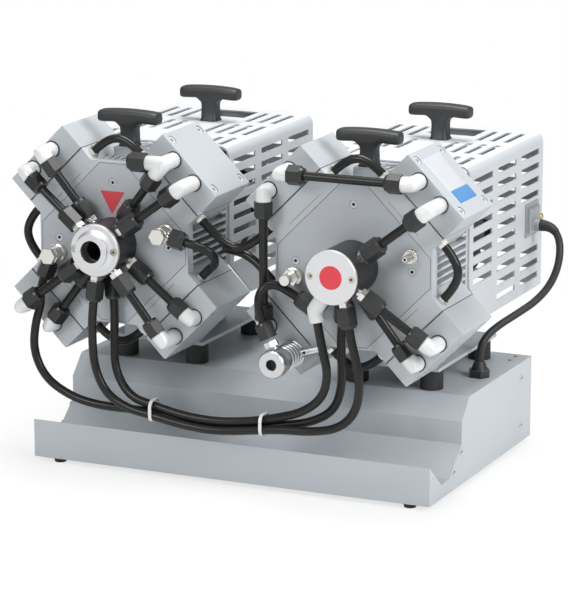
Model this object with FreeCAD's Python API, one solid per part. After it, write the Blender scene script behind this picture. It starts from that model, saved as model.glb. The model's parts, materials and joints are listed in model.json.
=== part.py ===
"""Twin diaphragm vacuum pump: two four-headed pump units side by side on a folded tray.

Millimetres. X runs along the front to the right, Y runs away from the front, Z is up.
The origin lies on the ground under the middle of the machine.
"""
import FreeCAD, Part
import math
import os

V = FreeCAD.Vector

# Driving sizes: tray
TRAY_DEPTH = 326.0
TRAY_HEIGHT = 98.4
TRAY_FRONT = -158.0
SHEET = 3.0
LIP_HEIGHT = 45.0
CHANNEL_FLOOR = 15.9
CHANNEL_START = 36.2
CHANNEL_END = 59.5
CHANNEL_RISE_END = 97.2
CHANNEL_RISE_TOP = 47.2
CHANNEL_WALL_TOP = 74.3
TOP_START = 120.3
FOOT_HEIGHT = 6.0
FOOT_RADIUS = 8.0
FOOT_INSET = 28.0

# Driving sizes: pump units
UNIT_GAP = 36.2492
UNIT_INSET = 100.0
UNIT_HEIGHT = 164.5
AXIS_HEIGHT = FOOT_HEIGHT + TRAY_HEIGHT + UNIT_HEIGHT
FACE_Y = TRAY_FRONT + 15.0
PAD_RADIUS = 104.5
HEAD_HEIGHT = 34.5
HEAD_HALF_WIDTH = 47.5
CORE_HALF = PAD_RADIUS - 9.5
FLANGE_THICK = 14.0
CASE_DEPTH = 109.0
HEAD_DEPTH = CASE_DEPTH - 19.0
REAR_FLANGE = 6.0
REAR_WALL = 21.0
CHAMBER_RADIUS = 60.0
CHAMBER_END = CASE_DEPTH - REAR_WALL
FIN_THICK = 3.0
FIN_PITCH = 8.5
PLATE_THICK = 5.0
PLATE_HALF = CORE_HALF - 2.7
PLATE_LONG_EDGE = PAD_RADIUS - 27.5
PLATE_GAP = 0.4
JOINT_CHAMFER = 0.9
RUNNING = 0.5
REST = 0.3
SLIP = 0.05
HEAD_REACH = (PAD_RADIUS + HEAD_HEIGHT + HEAD_HALF_WIDTH) * math.sqrt(0.5)
UNIT_SPACING = 2 * HEAD_REACH + UNIT_GAP
TRAY_WIDTH = UNIT_SPACING + 2 * UNIT_INSET

# Driving sizes: mechanism
STROKE = 6.0
ECCENTRIC_RADIUS = 14.0
ROD_THICK = 8.0
ROD_PITCH = 9.0
ROD_WIDTH = 12.0
PISTON_RADIUS = 21.5
PISTON_THICK = 6.0
DIAPHRAGM_RADIUS = 38.0
DIAPHRAGM_THICK = 2.0
FRONT_BEARING = (17.5, 8.5, 10.0)
REAR_BEARING = (21.0, 10.0, 12.0)
MOTOR_RADIUS = 70.0
MOTOR_LENGTH = 122.0
ROTOR_RADIUS = 36.0
ROTOR_LENGTH = 84.0
FAN_RADIUS = 70.0
FAN_BLADES = 9
FAN_THICK = 18.0

# Driving sizes: guard
GUARD_HALF_WIDTH = CORE_HALF + 1.1
GUARD_TOP = CORE_HALF + 5.6
GUARD_BOTTOM = -84.3
GUARD_END = CASE_DEPTH + 240.3
GUARD_SHEET = 2.0
GUARD_EDGE = 12.0
SLOT_HEIGHT = 7.2
SLOT_PITCH = 16.6
SLOT_LENGTH = 60.0
SLOT_FIRST = 80.5
SLOT_ROWS = 10
SLOT_STARTS = (12.0, 89.5, 167.0)
CONNECTOR_Y = CASE_DEPTH + 203.0
CONNECTOR_Z = 3.0
CONNECTOR_HALF = 15.0

# Driving sizes: supports under each unit
BUFFER_HEIGHT = 24.0
BUFFER_RADIUS = 13.5
BUFFER_SIDE = 46.5
BUFFER_LINES = (CASE_DEPTH + 13.8, TRAY_DEPTH - 50.3)

# Driving sizes: pipework
HUB_RADIUS = 30.0
PORT_RISE = 23.5
PORT_RADIUS = PAD_RADIUS + PORT_RISE
PORT_SPREAD = 17.5
ELBOW_RADIUS = 9.0
SEAT_DEPTH = 6.0
NUT_FLATS = 20.0
HUB_NUT = 24.0
HEAD_NUT = 18.5
ELBOW_BRANCH = 10.5
NIPPLE_REACH = 8.5
HOSE = 10.0
CABLE = 9.0
COLLAR_FLATS = 12.0
COLLAR_LENGTH = 5.0
ROUTE_SPACING = 300.0
TIE_WIDTH = 3.6
TIE_THICK = 1.1
TIE_DEPTH = 24.3
TIE_HEIGHT = 25.8
TIE_ROUND = 8.5
HOOP_RADIUS = PAD_RADIUS - 10.5
HOOP_Y = 14.0
SIDE_HOSE_RADIUS = PAD_RADIUS - 6.5
SIDE_HOSE_Y = 15.0
VENT_HOSE_Y = 20.0

UNITS = {"left": -UNIT_SPACING / 2, "right": UNIT_SPACING / 2}
HEAD_ANGLES = {"ur": 45.0, "ul": 135.0, "ll": -135.0, "lr": -45.0}
HUB_LENGTH = {"left": 43.0, "right": 60.0}
LEVELS = {"left": {"front": -32.0, "rear": -11.0}, "right": {"front": -37.0, "rear": -13.0}}
HEAD_MIDDLE = HEAD_DEPTH / 2


def box(x0, x1, y0, y1, z0, z1):
    """A box between two corners."""
    return Part.makeBox(x1 - x0, y1 - y0, z1 - z0, V(x0, y0, z0))


def rod(start, direction, radius, length):
    """A round bar that starts at a point."""
    return Part.makeCylinder(radius, length, start, direction)


def along_y(radius, y0, y1, x=0.0, z=0.0):
    """A round bar parallel to the shaft."""
    return Part.makeCylinder(radius, y1 - y0, V(x, y0, z), V(0, 1, 0))


def prism_y(points, y0, y1):
    """A prism whose outline is given as (x, z) corners."""
    corners = [V(x, y0, z) for x, z in points]
    face = Part.Face(Part.makePolygon(corners + corners[:1]))
    return face.extrude(V(0, y1 - y0, 0))


def turned(points, x=0.0, z=0.0):
    """A body turned about an axis parallel to Y, from (radius, y) corners."""
    corners = [V(r, y, 0) for r, y in points]
    face = Part.Face(Part.makePolygon(corners + corners[:1]))
    body = face.revolve(V(0, 0, 0), V(0, 1, 0), 360)
    body.translate(V(x, 0, z))
    return body


def hexagon(start, direction, flats, length):
    """A hexagonal bar with one pair of flats square to Y."""
    direction = V(direction).normalize()
    side = direction.cross(V(0, 1, 0))
    if side.Length < 0.01:
        side = V(1, 0, 0)
    side.normalize()
    front = side.cross(direction)
    front.normalize()
    reach = flats / math.sqrt(3)
    corners = []
    for k in range(6):
        turn = math.radians(30 + 60 * k)
        across = side * (reach * math.sin(turn))
        corners.append(start + front * (reach * math.cos(turn)) + across)
    face = Part.Face(Part.makePolygon(corners + corners[:1]))
    return face.extrude(direction * length)


def swung(shape, angle):
    """Turn a shape about the shaft axis, counter-clockwise as seen from the front."""
    copy = shape.copy()
    copy.rotate(V(0, 0, 0), V(0, 1, 0), -angle)
    return copy


def spoke(angle, radius, y=0.0, side=0.0):
    """A point at a radius on a spoke from the shaft, moved sideways along the tangent."""
    a = math.radians(angle)
    return V(radius * math.cos(a) - side * math.sin(a), y, radius * math.sin(a) + side * math.cos(a))


def hose_path(points):
    """Straight runs joined by tangent arcs, and the radius of each arc."""
    edges = []
    radii = []
    start = points[0]
    for k in range(1, len(points) - 1):
        before = points[k - 1] - points[k]
        after = points[k + 1] - points[k]
        turn = math.pi - before.getAngle(after)
        reach = 0.45 * min(before.Length, after.Length)
        radius = reach / math.tan(turn / 2)
        before.normalize()
        after.normalize()
        first = points[k] + before * reach
        last = points[k] + after * reach
        inward = (before + after).normalize()
        centre = points[k] + inward * (radius / math.cos(turn / 2))
        middle = centre - inward * radius
        edges.append(Part.LineSegment(start, first).toShape())
        edges.append(Part.Arc(first, middle, last).toShape())
        radii.append(radius)
        start = last
    edges.append(Part.LineSegment(start, points[-1]).toShape())
    return Part.Wire(edges), radii


def hose(points, diameter, name):
    """A solid tube along a route, with its radii and volume printed."""
    path, radii = hose_path(points)
    heading = (points[1] - points[0]).normalize()
    ring = Part.Wire(Part.makeCircle(diameter / 2, points[0], heading))
    solid = path.makePipeShell([ring], True, False)
    expected = math.pi * diameter ** 2 / 4 * path.Length
    shown = " ".join("%.0f" % r for r in radii)
    print("%s length %.1f volume ratio %.4f radii %s" % (name, path.Length, solid.Volume / expected, shown))
    return solid


def fuse(shapes):
    """Join overlapping shapes into one solid."""
    result = shapes[0]
    if len(shapes) > 1:
        result = shapes[0].multiFuse(shapes[1:])
    return result.removeSplitter()


def group(shapes):
    """Keep separate solids together in one file."""
    return Part.makeCompound(shapes)


def port_point(target):
    """Where a head fitting turns towards its link, for a (head, side, stand) target."""
    name, side, stand = target
    return spoke(HEAD_ANGLES[name], PORT_RADIUS, -stand, side * PORT_SPREAD)


# Tray

def tray_outline(inset, lift):
    """Outline of the folded sheet as (y, z) corners, moved inwards by an inset."""
    drop = inset * math.hypot(CHANNEL_START, LIP_HEIGHT - CHANNEL_FLOOR) / CHANNEL_START
    fall = inset * (LIP_HEIGHT - CHANNEL_FLOOR) / CHANNEL_START
    return [
        (inset, lift),
        (inset, LIP_HEIGHT - drop - fall),
        (CHANNEL_START - inset * 0.35, CHANNEL_FLOOR - inset),
        (CHANNEL_END + inset * 0.35, CHANNEL_FLOOR - inset),
        (CHANNEL_RISE_END + inset, CHANNEL_RISE_TOP - inset * 0.5),
        (CHANNEL_RISE_END + inset, CHANNEL_WALL_TOP - inset * 0.4),
        (TOP_START + inset * 0.4, TRAY_HEIGHT - inset),
        (TRAY_DEPTH - inset, TRAY_HEIGHT - inset),
        (TRAY_DEPTH - inset, lift)]


def tray_prism(points, x0, x1):
    """Extrude a (y, z) outline along X."""
    corners = [V(x0, TRAY_FRONT + y, FOOT_HEIGHT + z) for y, z in points]
    face = Part.Face(Part.makePolygon(corners + corners[:1]))
    return face.extrude(V(x1 - x0, 0, 0))


def foot_points():
    """Centres of the four feet."""
    xs = (-TRAY_WIDTH / 2 + FOOT_INSET, TRAY_WIDTH / 2 - FOOT_INSET)
    ys = (TRAY_FRONT + 12.0, TRAY_FRONT + TRAY_DEPTH - 14.0)
    return [V(x, y, 0) for x in xs for y in ys]


def tray_body():
    """Folded sheet with the hose channel behind the front lip, and a return flange for each pair of feet."""
    inner = TRAY_WIDTH / 2 - SHEET
    outer = tray_prism(tray_outline(0, 0), -inner, inner)
    hollow = tray_prism(tray_outline(SHEET, -1), -inner - 1, inner + 1)
    sheet = outer.cut(hollow)
    front = TRAY_FRONT
    back = TRAY_FRONT + TRAY_DEPTH
    low = FOOT_HEIGHT
    rails = [box(-inner, inner, front, front + 28, low, low + SHEET),
             box(-inner, inner, back - 28, back, low, low + SHEET)]
    return fuse([sheet] + rails)


def tray_ends():
    """Two end plates with the outline of the tray."""
    half = TRAY_WIDTH / 2
    return group([tray_prism(tray_outline(0, 0), -half, -half + SHEET),
                  tray_prism(tray_outline(0, 0), half - SHEET, half)])


def tray_feet():
    """Four rubber feet, slightly tapered."""
    feet = []
    for p in foot_points():
        feet.append(Part.makeCone(FOOT_RADIUS - 1.2, FOOT_RADIUS, FOOT_HEIGHT, p, V(0, 0, 1)))
    return feet


# Pump unit, about its own axis with Y = 0 on the front face

def octagon(half, long_edge, y0, y1):
    """A square with its corners cut by a square turned by 45 degrees."""
    square = box(-half, half, y0, y1, -half, half)
    diamond = swung(box(-long_edge, long_edge, y0, y1, -long_edge, long_edge), 45)
    return square.common(diamond)


def bar(angle, reach, half, y0, y1):
    """A bar across the shaft that carries a head at each end."""
    return swung(box(-reach, reach, y0, y1, -half, half), angle)


def handle_base():
    """The boss that carries the front handle."""
    return box(-14, 14, HEAD_MIDDLE - 14, HEAD_MIDDLE + 14, CHAMBER_RADIUS + 2, CORE_HALF + 11)


def crankcase():
    """Cast case: two crossed bars with a pad at each end, fins between them and a rear flange."""
    solids = [octagon(CORE_HALF, PAD_RADIUS, 0, FLANGE_THICK)]
    for angle in (45, 135):
        solids.append(bar(angle, PAD_RADIUS, HEAD_HALF_WIDTH, 0, HEAD_DEPTH))
    root = CHAMBER_RADIUS + 6
    fin_end = CASE_DEPTH - REAR_FLANGE
    solids.append(along_y(root + 6, HEAD_DEPTH - 8, fin_end))
    for side in range(4):
        for k in range(-7, 8):
            z = k * FIN_PITCH
            start = FLANGE_THICK if abs(k) < 3 else HEAD_DEPTH + REST
            inner = root - 8 if abs(k) < 5 else 20
            fin = box(inner, CORE_HALF, start, fin_end, z - FIN_THICK / 2, z + FIN_THICK / 2)
            solids.append(swung(fin, 90 * side))
    wide = CORE_HALF - 1
    top = GUARD_TOP - 2.6
    corner = top - GUARD_EDGE
    rear = [(-wide, GUARD_BOTTOM), (wide, GUARD_BOTTOM), (wide, corner), (wide - GUARD_EDGE, top),
            (GUARD_EDGE - wide, top), (-wide, corner)]
    solids.append(prism_y(rear, fin_end, CASE_DEPTH))
    solids.append(handle_base())
    case = fuse(solids)
    case = case.cut(octagon(PLATE_HALF + PLATE_GAP, PLATE_LONG_EDGE + PLATE_GAP, -1, PLATE_THICK))
    cuts = [along_y(CHAMBER_RADIUS, 0, CHAMBER_END)]
    cuts.append(along_y(REAR_BEARING[0] + SLIP, CHAMBER_END - 1, CHAMBER_END + 2 + REAR_BEARING[2]))
    cuts.append(along_y(REAR_BEARING[1] + 3, CHAMBER_END, CASE_DEPTH + 1))
    for angle in HEAD_ANGLES.values():
        bore = rod(V(0, HEAD_MIDDLE, 0), V(1, 0, 0), DIAPHRAGM_RADIUS - 7, PAD_RADIUS + 1)
        seat = rod(V(PAD_RADIUS - DIAPHRAGM_THICK, HEAD_MIDDLE, 0), V(1, 0, 0), DIAPHRAGM_RADIUS + SLIP, 5)
        cuts.append(swung(bore, angle))
        cuts.append(swung(seat, angle))
        line = PLATE_LONG_EDGE + 7
        groove = box(line - 0.35, line + 0.35, -1, 0.7, -HEAD_HALF_WIDTH + 22, HEAD_HALF_WIDTH - 22)
        cuts.append(swung(groove, angle))
        edge = PAD_RADIUS - JOINT_CHAMFER
        reach = HEAD_HALF_WIDTH + 1
        cuts.append(swung(box(edge, PAD_RADIUS + 1, -1, JOINT_CHAMFER, -reach, reach), angle))
    return case.cut(cuts)


def cover_plate():
    """Octagonal front cover with the front bearing boss behind it and four countersinks."""
    plate = octagon(PLATE_HALF, PLATE_LONG_EDGE, 0, PLATE_THICK)
    plate = plate.fuse(along_y(FRONT_BEARING[0] + 6, PLATE_THICK - 1, PLATE_THICK + 2 + FRONT_BEARING[2]))
    cuts = [along_y(FRONT_BEARING[0] + SLIP, PLATE_THICK + 1, PLATE_THICK + 3 + FRONT_BEARING[2])]
    for point in cover_screw_points():
        cuts.append(countersunk(point, SLIP))
    return plate.cut(cuts)


def cover_screw_points():
    """Screws at the four short edges."""
    return [spoke(a, 70.4) for a in (0, 90, 180, 270)]


def countersunk(point, clearance):
    """A countersunk screw body whose head is flush with the face."""
    head = Part.makeCone(5.0 + clearance, 2.5 + clearance, 2.6, point, V(0, 1, 0))
    shank = rod(point, V(0, 1, 0), 2.5 + clearance, PLATE_THICK)
    return head.fuse(shank)


def cover_screws():
    """Four countersunk screws with a drive socket."""
    screws = []
    for point in cover_screw_points():
        socket = hexagon(point - V(0, 1, 0), V(0, 1, 0), 3.0, 2.6)
        screws.append(countersunk(point, 0).cut(socket))
    return screws


def head_screw_points():
    """Cap screws at the four corners of a head, as (y, side)."""
    reach = HEAD_HALF_WIDTH - 10.5
    return [(y, side) for y in (10.0, HEAD_DEPTH - 10.0) for side in (-reach, reach)]


def head(angle):
    """Pump head with a domed chamber, two valve pockets, two fitting seats and four screw counterbores."""
    top = PAD_RADIUS + HEAD_HEIGHT
    body = box(PAD_RADIUS, top, 0, HEAD_DEPTH, -HEAD_HALF_WIDTH, HEAD_HALF_WIDTH)
    upper = [e for e in body.Edges if abs(e.CenterOfMass.x - top) < 0.01]
    body = body.makeFillet(1.2, upper)
    middle = HEAD_MIDDLE
    floor = V(PAD_RADIUS, middle, 0)
    cuts = [Part.makeCone(DIAPHRAGM_RADIUS - 5, DIAPHRAGM_RADIUS - 12, 8, floor, V(1, 0, 0))]
    for side in (-1, 1):
        z = side * PORT_SPREAD
        cuts.append(along_y(ELBOW_RADIUS + 0.7, -1, SEAT_DEPTH, PORT_RADIUS, z))
        cuts.append(along_y(4, 0, middle, PORT_RADIUS, z))
        cuts.append(rod(V(PAD_RADIUS + 6, middle, z * 0.8), V(1, 0, 0), 9, 8))
        cuts.append(rod(V(PAD_RADIUS + 12, middle, z * 0.8), V(1, 0, 0), 5, PORT_RADIUS - PAD_RADIUS - 11))
    for y, side in head_screw_points():
        cuts.append(rod(V(top - 7, y, side), V(1, 0, 0), 5.6, 8))
        cuts.append(rod(V(PAD_RADIUS - 1, y, side), V(1, 0, 0), 3 + SLIP, HEAD_HEIGHT))
    nick = box(PAD_RADIUS - 1, PAD_RADIUS + JOINT_CHAMFER, -1, JOINT_CHAMFER, -60, 60)
    cuts.append(nick)
    return swung(body.cut(cuts), angle)


def head_screws(angle):
    """Four cap screws of one head, their heads sunk in the counterbores."""
    top = PAD_RADIUS + HEAD_HEIGHT
    screws = []
    for y, side in head_screw_points():
        cap = rod(V(top - 7, y, side), V(1, 0, 0), 5.0, 6.0)
        socket = hexagon(V(top - 4, y, side), V(1, 0, 0), 5.0, 5)
        shank = rod(V(PAD_RADIUS, y, side), V(1, 0, 0), 3.0, HEAD_HEIGHT - 6)
        screws.append(swung(cap.cut(socket).fuse(shank), angle))
    return screws


def valve_discs(angle):
    """Inlet and outlet valve discs, one in each pocket of a head."""
    discs = []
    for side in (-1, 1):
        seat = V(PAD_RADIUS + 12.0, HEAD_MIDDLE, side * PORT_SPREAD * 0.8)
        discs.append(swung(rod(seat, V(1, 0, 0), 8.8, 2.0), angle))
    return discs


def diaphragm(angle):
    """Clamped rim and rolled web of one diaphragm. Its middle is open for the piston disc."""
    inner = PISTON_RADIUS + RUNNING
    low = PAD_RADIUS - DIAPHRAGM_THICK
    rim = rod(V(low, HEAD_MIDDLE, 0), V(1, 0, 0), DIAPHRAGM_RADIUS, DIAPHRAGM_THICK)
    roll = Part.makeTorus(inner + 5.5, 2.4, V(low + 0.6, HEAD_MIDDLE, 0), V(1, 0, 0))
    web = rim.fuse(roll).cut(rod(V(low - 9, HEAD_MIDDLE, 0), V(1, 0, 0), inner, 20))
    return swung(web, angle)


ROD_SLOTS = {"ur": -1.5, "ll": 0.5, "ul": -0.5, "lr": 1.5}


def connecting_rod(name):
    """Rod with its big end round the eccentric, and the disc that clamps the diaphragm."""
    y = HEAD_MIDDLE + ROD_SLOTS[name] * ROD_PITCH
    y0 = y - ROD_THICK / 2
    y1 = y + ROD_THICK / 2
    bore = ECCENTRIC_RADIUS + STROKE + RUNNING
    outer = bore + 5.5
    foot_top = PAD_RADIUS - DIAPHRAGM_THICK - 3.5
    web = box(outer - 3, foot_top - 5, y0, y1, -ROD_WIDTH / 2, ROD_WIDTH / 2)
    foot = rod(V(foot_top - 6, HEAD_MIDDLE, 0), V(1, 0, 0), PISTON_RADIUS - 3.5, 6)
    ring = along_y(outer, y0, y1)
    body = fuse([ring, web, foot]).cut(along_y(bore, y0 - 1, y1 + 1))
    disc = rod(V(foot_top, HEAD_MIDDLE, 0), V(1, 0, 0), PISTON_RADIUS, PISTON_THICK)
    rim = [e for e in disc.Edges if abs(e.CenterOfMass.x - foot_top - PISTON_THICK) < 0.01 and e.Closed]
    disc = disc.makeChamfer(1.5, rim[:1])
    return [swung(body, HEAD_ANGLES[name]), swung(disc, HEAD_ANGLES[name])]


def crankshaft():
    """Shaft with front journal, eccentric, counterweights, rotor core and fan seat."""
    front = PLATE_THICK + 2.5
    rear_seat = CHAMBER_END + 1.5
    first = HEAD_MIDDLE - 2 * ROD_PITCH - 1
    last = HEAD_MIDDLE + 2 * ROD_PITCH + 1
    throw = STROKE / 2
    solids = [along_y(FRONT_BEARING[1], front, first)]
    solids.append(along_y(ECCENTRIC_RADIUS, first, last, throw, 0))
    solids.append(along_y(REAR_BEARING[1], last - 1, CASE_DEPTH + MOTOR_LENGTH + 4 + FAN_THICK))
    solids.append(along_y(REAR_BEARING[1] + 2.5, last, rear_seat - REST))
    for y0 in (first - 5, last + 1):
        web = along_y(40, y0, y0 + 4.5).cut(box(-2, 60, y0 - 1, y0 + 6, -60, 60))
        hub = along_y(16, y0, y0 + 4.5)
        solids.append(web.fuse(hub))
    middle = CASE_DEPTH + MOTOR_LENGTH / 2
    solids.append(along_y(ROTOR_RADIUS, middle - ROTOR_LENGTH / 2, middle + ROTOR_LENGTH / 2))
    return fuse(solids)


def ring_bearing(size, y0):
    """A ball bearing drawn as its two rings and the ball track between them."""
    outer, inner, width = size
    body = along_y(outer, y0, y0 + width).cut(along_y(inner + SLIP, y0 - 1, y0 + width + 1))
    step = 0.3 * (outer - inner)
    for y in (y0 - 1, y0 + width - 1.2):
        gap = along_y(outer - step, y, y + 2.2).cut(along_y(inner + step, y - 1, y + 3.2))
        body = body.cut(gap)
    return body


def shaft_bearings():
    """Front bearing in the cover, rear bearing in the case."""
    front = ring_bearing(FRONT_BEARING, PLATE_THICK + 1.5)
    rear = ring_bearing(REAR_BEARING, CHAMBER_END + 1.5)
    return group([front, rear])


def motor():
    """Motor shell with cooling ribs, and the stator ring inside it."""
    end = CASE_DEPTH + MOTOR_LENGTH
    shell = along_y(MOTOR_RADIUS - 3, CASE_DEPTH, end)
    ribs = []
    for k in range(18):
        rib = box(MOTOR_RADIUS - 6, MOTOR_RADIUS, CASE_DEPTH + 12, end - 6, -1.5, 1.5)
        ribs.append(swung(rib, 20 * k))
    shell = shell.multiFuse(ribs)
    bore = along_y(ROTOR_RADIUS + RUNNING, CASE_DEPTH + 10, end - 8)
    middle = along_y(REAR_BEARING[1] + 3, CASE_DEPTH - 1, end + 1)
    return shell.cut([bore, middle])


def fan():
    """Cooling fan on the end of the shaft: hub and raked blades."""
    y0 = CASE_DEPTH + MOTOR_LENGTH + 4
    hub = along_y(18, y0, y0 + FAN_THICK)
    blades = []
    for k in range(FAN_BLADES):
        blade = box(12, FAN_RADIUS, y0 + FAN_THICK / 2 - 1.2, y0 + FAN_THICK / 2 + 1.2, -15, 15)
        blade.rotate(V(0, y0 + FAN_THICK / 2, 0), V(1, 0, 0), 28)
        blades.append(swung(blade, 360.0 / FAN_BLADES * k))
    wheel = hub.multiFuse(blades)
    trim = along_y(FAN_RADIUS, y0, y0 + FAN_THICK)
    return wheel.common(trim).cut(along_y(REAR_BEARING[1] + SLIP, y0 - 1, y0 + FAN_THICK + 1))


def long_edges(body, half, top):
    """The two top edges of a box that run along Y."""
    edges = []
    for edge in body.Edges:
        middle = edge.CenterOfMass
        if abs(middle.z - top) < 0.01 and abs(middle.x) > half - 1:
            edges.append(edge)
    return edges


def guard():
    """Slotted sheet hood over the motor: top, two sides and back, with rounded long edges."""
    w = GUARD_HALF_WIDTH
    y0 = CASE_DEPTH
    y1 = GUARD_END
    outer = box(-w, w, y0, y1, GUARD_BOTTOM, GUARD_TOP)
    outer = outer.makeFillet(GUARD_EDGE, long_edges(outer, w, GUARD_TOP))
    t = GUARD_SHEET
    inner = box(-w + t, w - t, y0 - 1, y1 - t, GUARD_BOTTOM - 1, GUARD_TOP - t)
    inner = inner.makeFillet(GUARD_EDGE - t, long_edges(inner, w - t, GUARD_TOP - t))
    hood = outer.cut(inner)
    cuts = []
    low = GUARD_BOTTOM - 1
    wedge = [V(-w - 1, y0 - 1, low), V(-w - 1, y0 + 62, low), V(-w - 1, y0 - 1, -38)]
    cuts.append(Part.Face(Part.makePolygon(wedge + wedge[:1])).extrude(V(2 * w + 2, 0, 0)))
    for column, start in enumerate(SLOT_STARTS):
        for row in range(SLOT_ROWS):
            z = SLOT_FIRST - SLOT_PITCH * row
            if column == 0 and row > 7:
                continue
            if column == 2 and row in (4, 5, 6):
                continue
            low = z - SLOT_HEIGHT / 2
            cuts.append(box(-w - 1, w + 1, y0 + start, y0 + start + SLOT_LENGTH, low, low + SLOT_HEIGHT))
    low = CONNECTOR_Z - CONNECTOR_HALF - 2
    high = CONNECTOR_Z + CONNECTOR_HALF + 2
    cuts.append(box(w - 5, w + 1, CONNECTOR_Y - 19, CONNECTOR_Y + 17, low, high))
    for x in (-78.0, -60.7, -43.4, -26.0, 26.0, 43.4, 60.7, 78.0):
        cuts.append(top_slot(x, y0 + 76, y0 + 138))
        if abs(x) > 30:
            cuts.append(top_slot(x, y0 + 159, y0 + 220))
        if abs(x) > 50:
            cuts.append(top_slot(x, y0 + 11, y0 + 55))
    cuts.append(box(-30, 30, y0 + 181, y0 + 225, GUARD_TOP - 10, GUARD_TOP + 1))
    for column in (-58.0, 0.0, 58.0):
        for row in range(SLOT_ROWS):
            z = SLOT_FIRST - SLOT_PITCH * row
            low = z - SLOT_HEIGHT / 2
            cuts.append(box(column - 24, column + 24, y1 - 10, y1 + 1, low, low + SLOT_HEIGHT))
    return hood.cut(cuts)


def top_slot(x, y0, y1):
    """One slot in the top of the guard."""
    return box(x - SLOT_HEIGHT / 2, x + SLOT_HEIGHT / 2, y0, y1, GUARD_TOP - 10, GUARD_TOP + 1)


def tee_handle(y, base):
    """T handle: square stem that flares into an arched bar."""
    half = 43.0
    low = V(0, y, base)
    stem = [low + V(-12, 0, 24), low + V(-12, 0, 0), low + V(12, 0, 0), low + V(12, 0, 24)]
    edges = list(Part.makePolygon(stem).Edges)
    for side in (-1, 1):
        neck = [low + V(12 * side, 0, 24), low + V(15.5 * side, 0, 29.5), low + V(22 * side, 0, 31)]
        tip = [low + V((half - 6) * side, 0, 29), low + V(half * side, 0, 34.5)]
        tip.append(low + V((half - 6) * side, 0, 41))
        edges.append(Part.Arc(neck[0], neck[1], neck[2]).toShape())
        edges.append(Part.LineSegment(neck[2], tip[0]).toShape())
        edges.append(Part.Arc(tip[0], tip[1], tip[2]).toShape())
    edges.append(Part.Arc(low + V(half - 6, 0, 41), low + V(0, 0, 46), low + V(6 - half, 0, 41)).toShape())
    body = Part.Face(Part.Wire(Part.__sortEdges__(edges))).extrude(V(0, 24, 0))
    body.translate(V(0, -12, 0))
    rims = []
    for edge in body.Edges:
        middle = edge.CenterOfMass
        if middle.z > base + 28 and abs(abs(middle.y - y) - 12) < 0.01:
            rims.append(edge)
    return body.makeFillet(4.0, rims)


def carry_handles():
    """Front handle on the case boss and rear handle on the guard."""
    return group([tee_handle(HEAD_MIDDLE, CORE_HALF + 11), tee_handle(CASE_DEPTH + 150.9, GUARD_TOP)])


def buffers():
    """Four rubber buffers between the tray and one base frame."""
    top = tray_top()
    shapes = []
    for x in (-BUFFER_SIDE, BUFFER_SIDE):
        for y in BUFFER_LINES:
            shapes.append(rod(V(x, y, top), V(0, 0, 1), BUFFER_RADIUS, BUFFER_HEIGHT))
    return shapes


def tray_top():
    """Height of the tray top below the unit axis."""
    return FOOT_HEIGHT + TRAY_HEIGHT - AXIS_HEIGHT


def base_frame():
    """Plate on the buffers, with an upright under the case and a saddle under the motor."""
    low = tray_top() + BUFFER_HEIGHT
    side = BUFFER_SIDE + BUFFER_RADIUS + 2
    start = BUFFER_LINES[0] - BUFFER_RADIUS - 3.3
    end = BUFFER_LINES[1] + BUFFER_RADIUS + 2.8
    plate = box(-side, side, start, end, low, low + 4)
    front = box(-40, 40, CASE_DEPTH - REAR_FLANGE, CASE_DEPTH, low + 2, GUARD_BOTTOM)
    under = CASE_DEPTH + 96
    saddle = box(-40, 40, under, under + 12, low + 2, -MOTOR_RADIUS + 14)
    saddle = saddle.cut(along_y(MOTOR_RADIUS + SLIP, under - 5, under + 17))
    return fuse([plate, front, saddle])


# Hubs and pipework

def link_line(unit, port, target):
    """Start on the hub surface and direction of a straight link from hub to head fitting."""
    angle, level = port
    start = spoke(angle, HUB_RADIUS, LEVELS[unit][level])
    return start, (port_point(target) - start).normalize()


LINKS = {
    "left": [((142, "front"), ("ul", 1, 19)), ((131, "rear"), ("ul", -1, 25)),
             ((60, "rear"), ("ur", 1, 28)), ((40, "front"), ("ur", -1, 33)),
             ((-34, "rear"), ("lr", 1, 12)), ((-57, "front"), ("lr", -1, 31)),
             ((-142, "front"), ("ll", -1, 33)), ((-127, "rear"), ("ll", 1, 12))],
    "right": [((37, "front"), ("ur", -1, 38)), ((-41, "front"), ("lr", 1, 25)),
              ((-58, "rear"), ("lr", -1, 14))],
}
CROSS_LINKS = {"left": [], "right": [(("ul", -1, 25), ("ur", 1, 25)), (("ul", 1, 16), ("ll", -1, 15))]}
TEE = ("ur", 1, 28)
TEE_BRANCH = 20.0
HOSE_PORTS = {"left": [(-99, "front"), (-85, "rear")], "right": [(-80, "front"), (-97, "rear")]}
OUTLET_PORT = (-126.5, "rear")
OUTLET_REACH = 34.5
OUTLET_TURN = V(-0.865, 0, 0.5).normalize()
ELBOW_PORT = (-124, "front")
ELBOW_REACH = 24.0
ELBOW_DROP = V(0.2, 0, -0.98).normalize()
ELBOW_DROP_LENGTH = 14.0


def port_lines(unit):
    """Every nipple on a hub: point, direction."""
    lines = []
    for port, target in LINKS[unit]:
        lines.append(link_line(unit, port, target))
    for angle, level in HOSE_PORTS[unit]:
        lines.append((spoke(angle, HUB_RADIUS, LEVELS[unit][level]), spoke(angle, 1)))
    if unit == "right":
        angle, level = OUTLET_PORT
        lines.append((spoke(angle, HUB_RADIUS, LEVELS[unit][level]), spoke(angle, 1)))
    return lines


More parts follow.
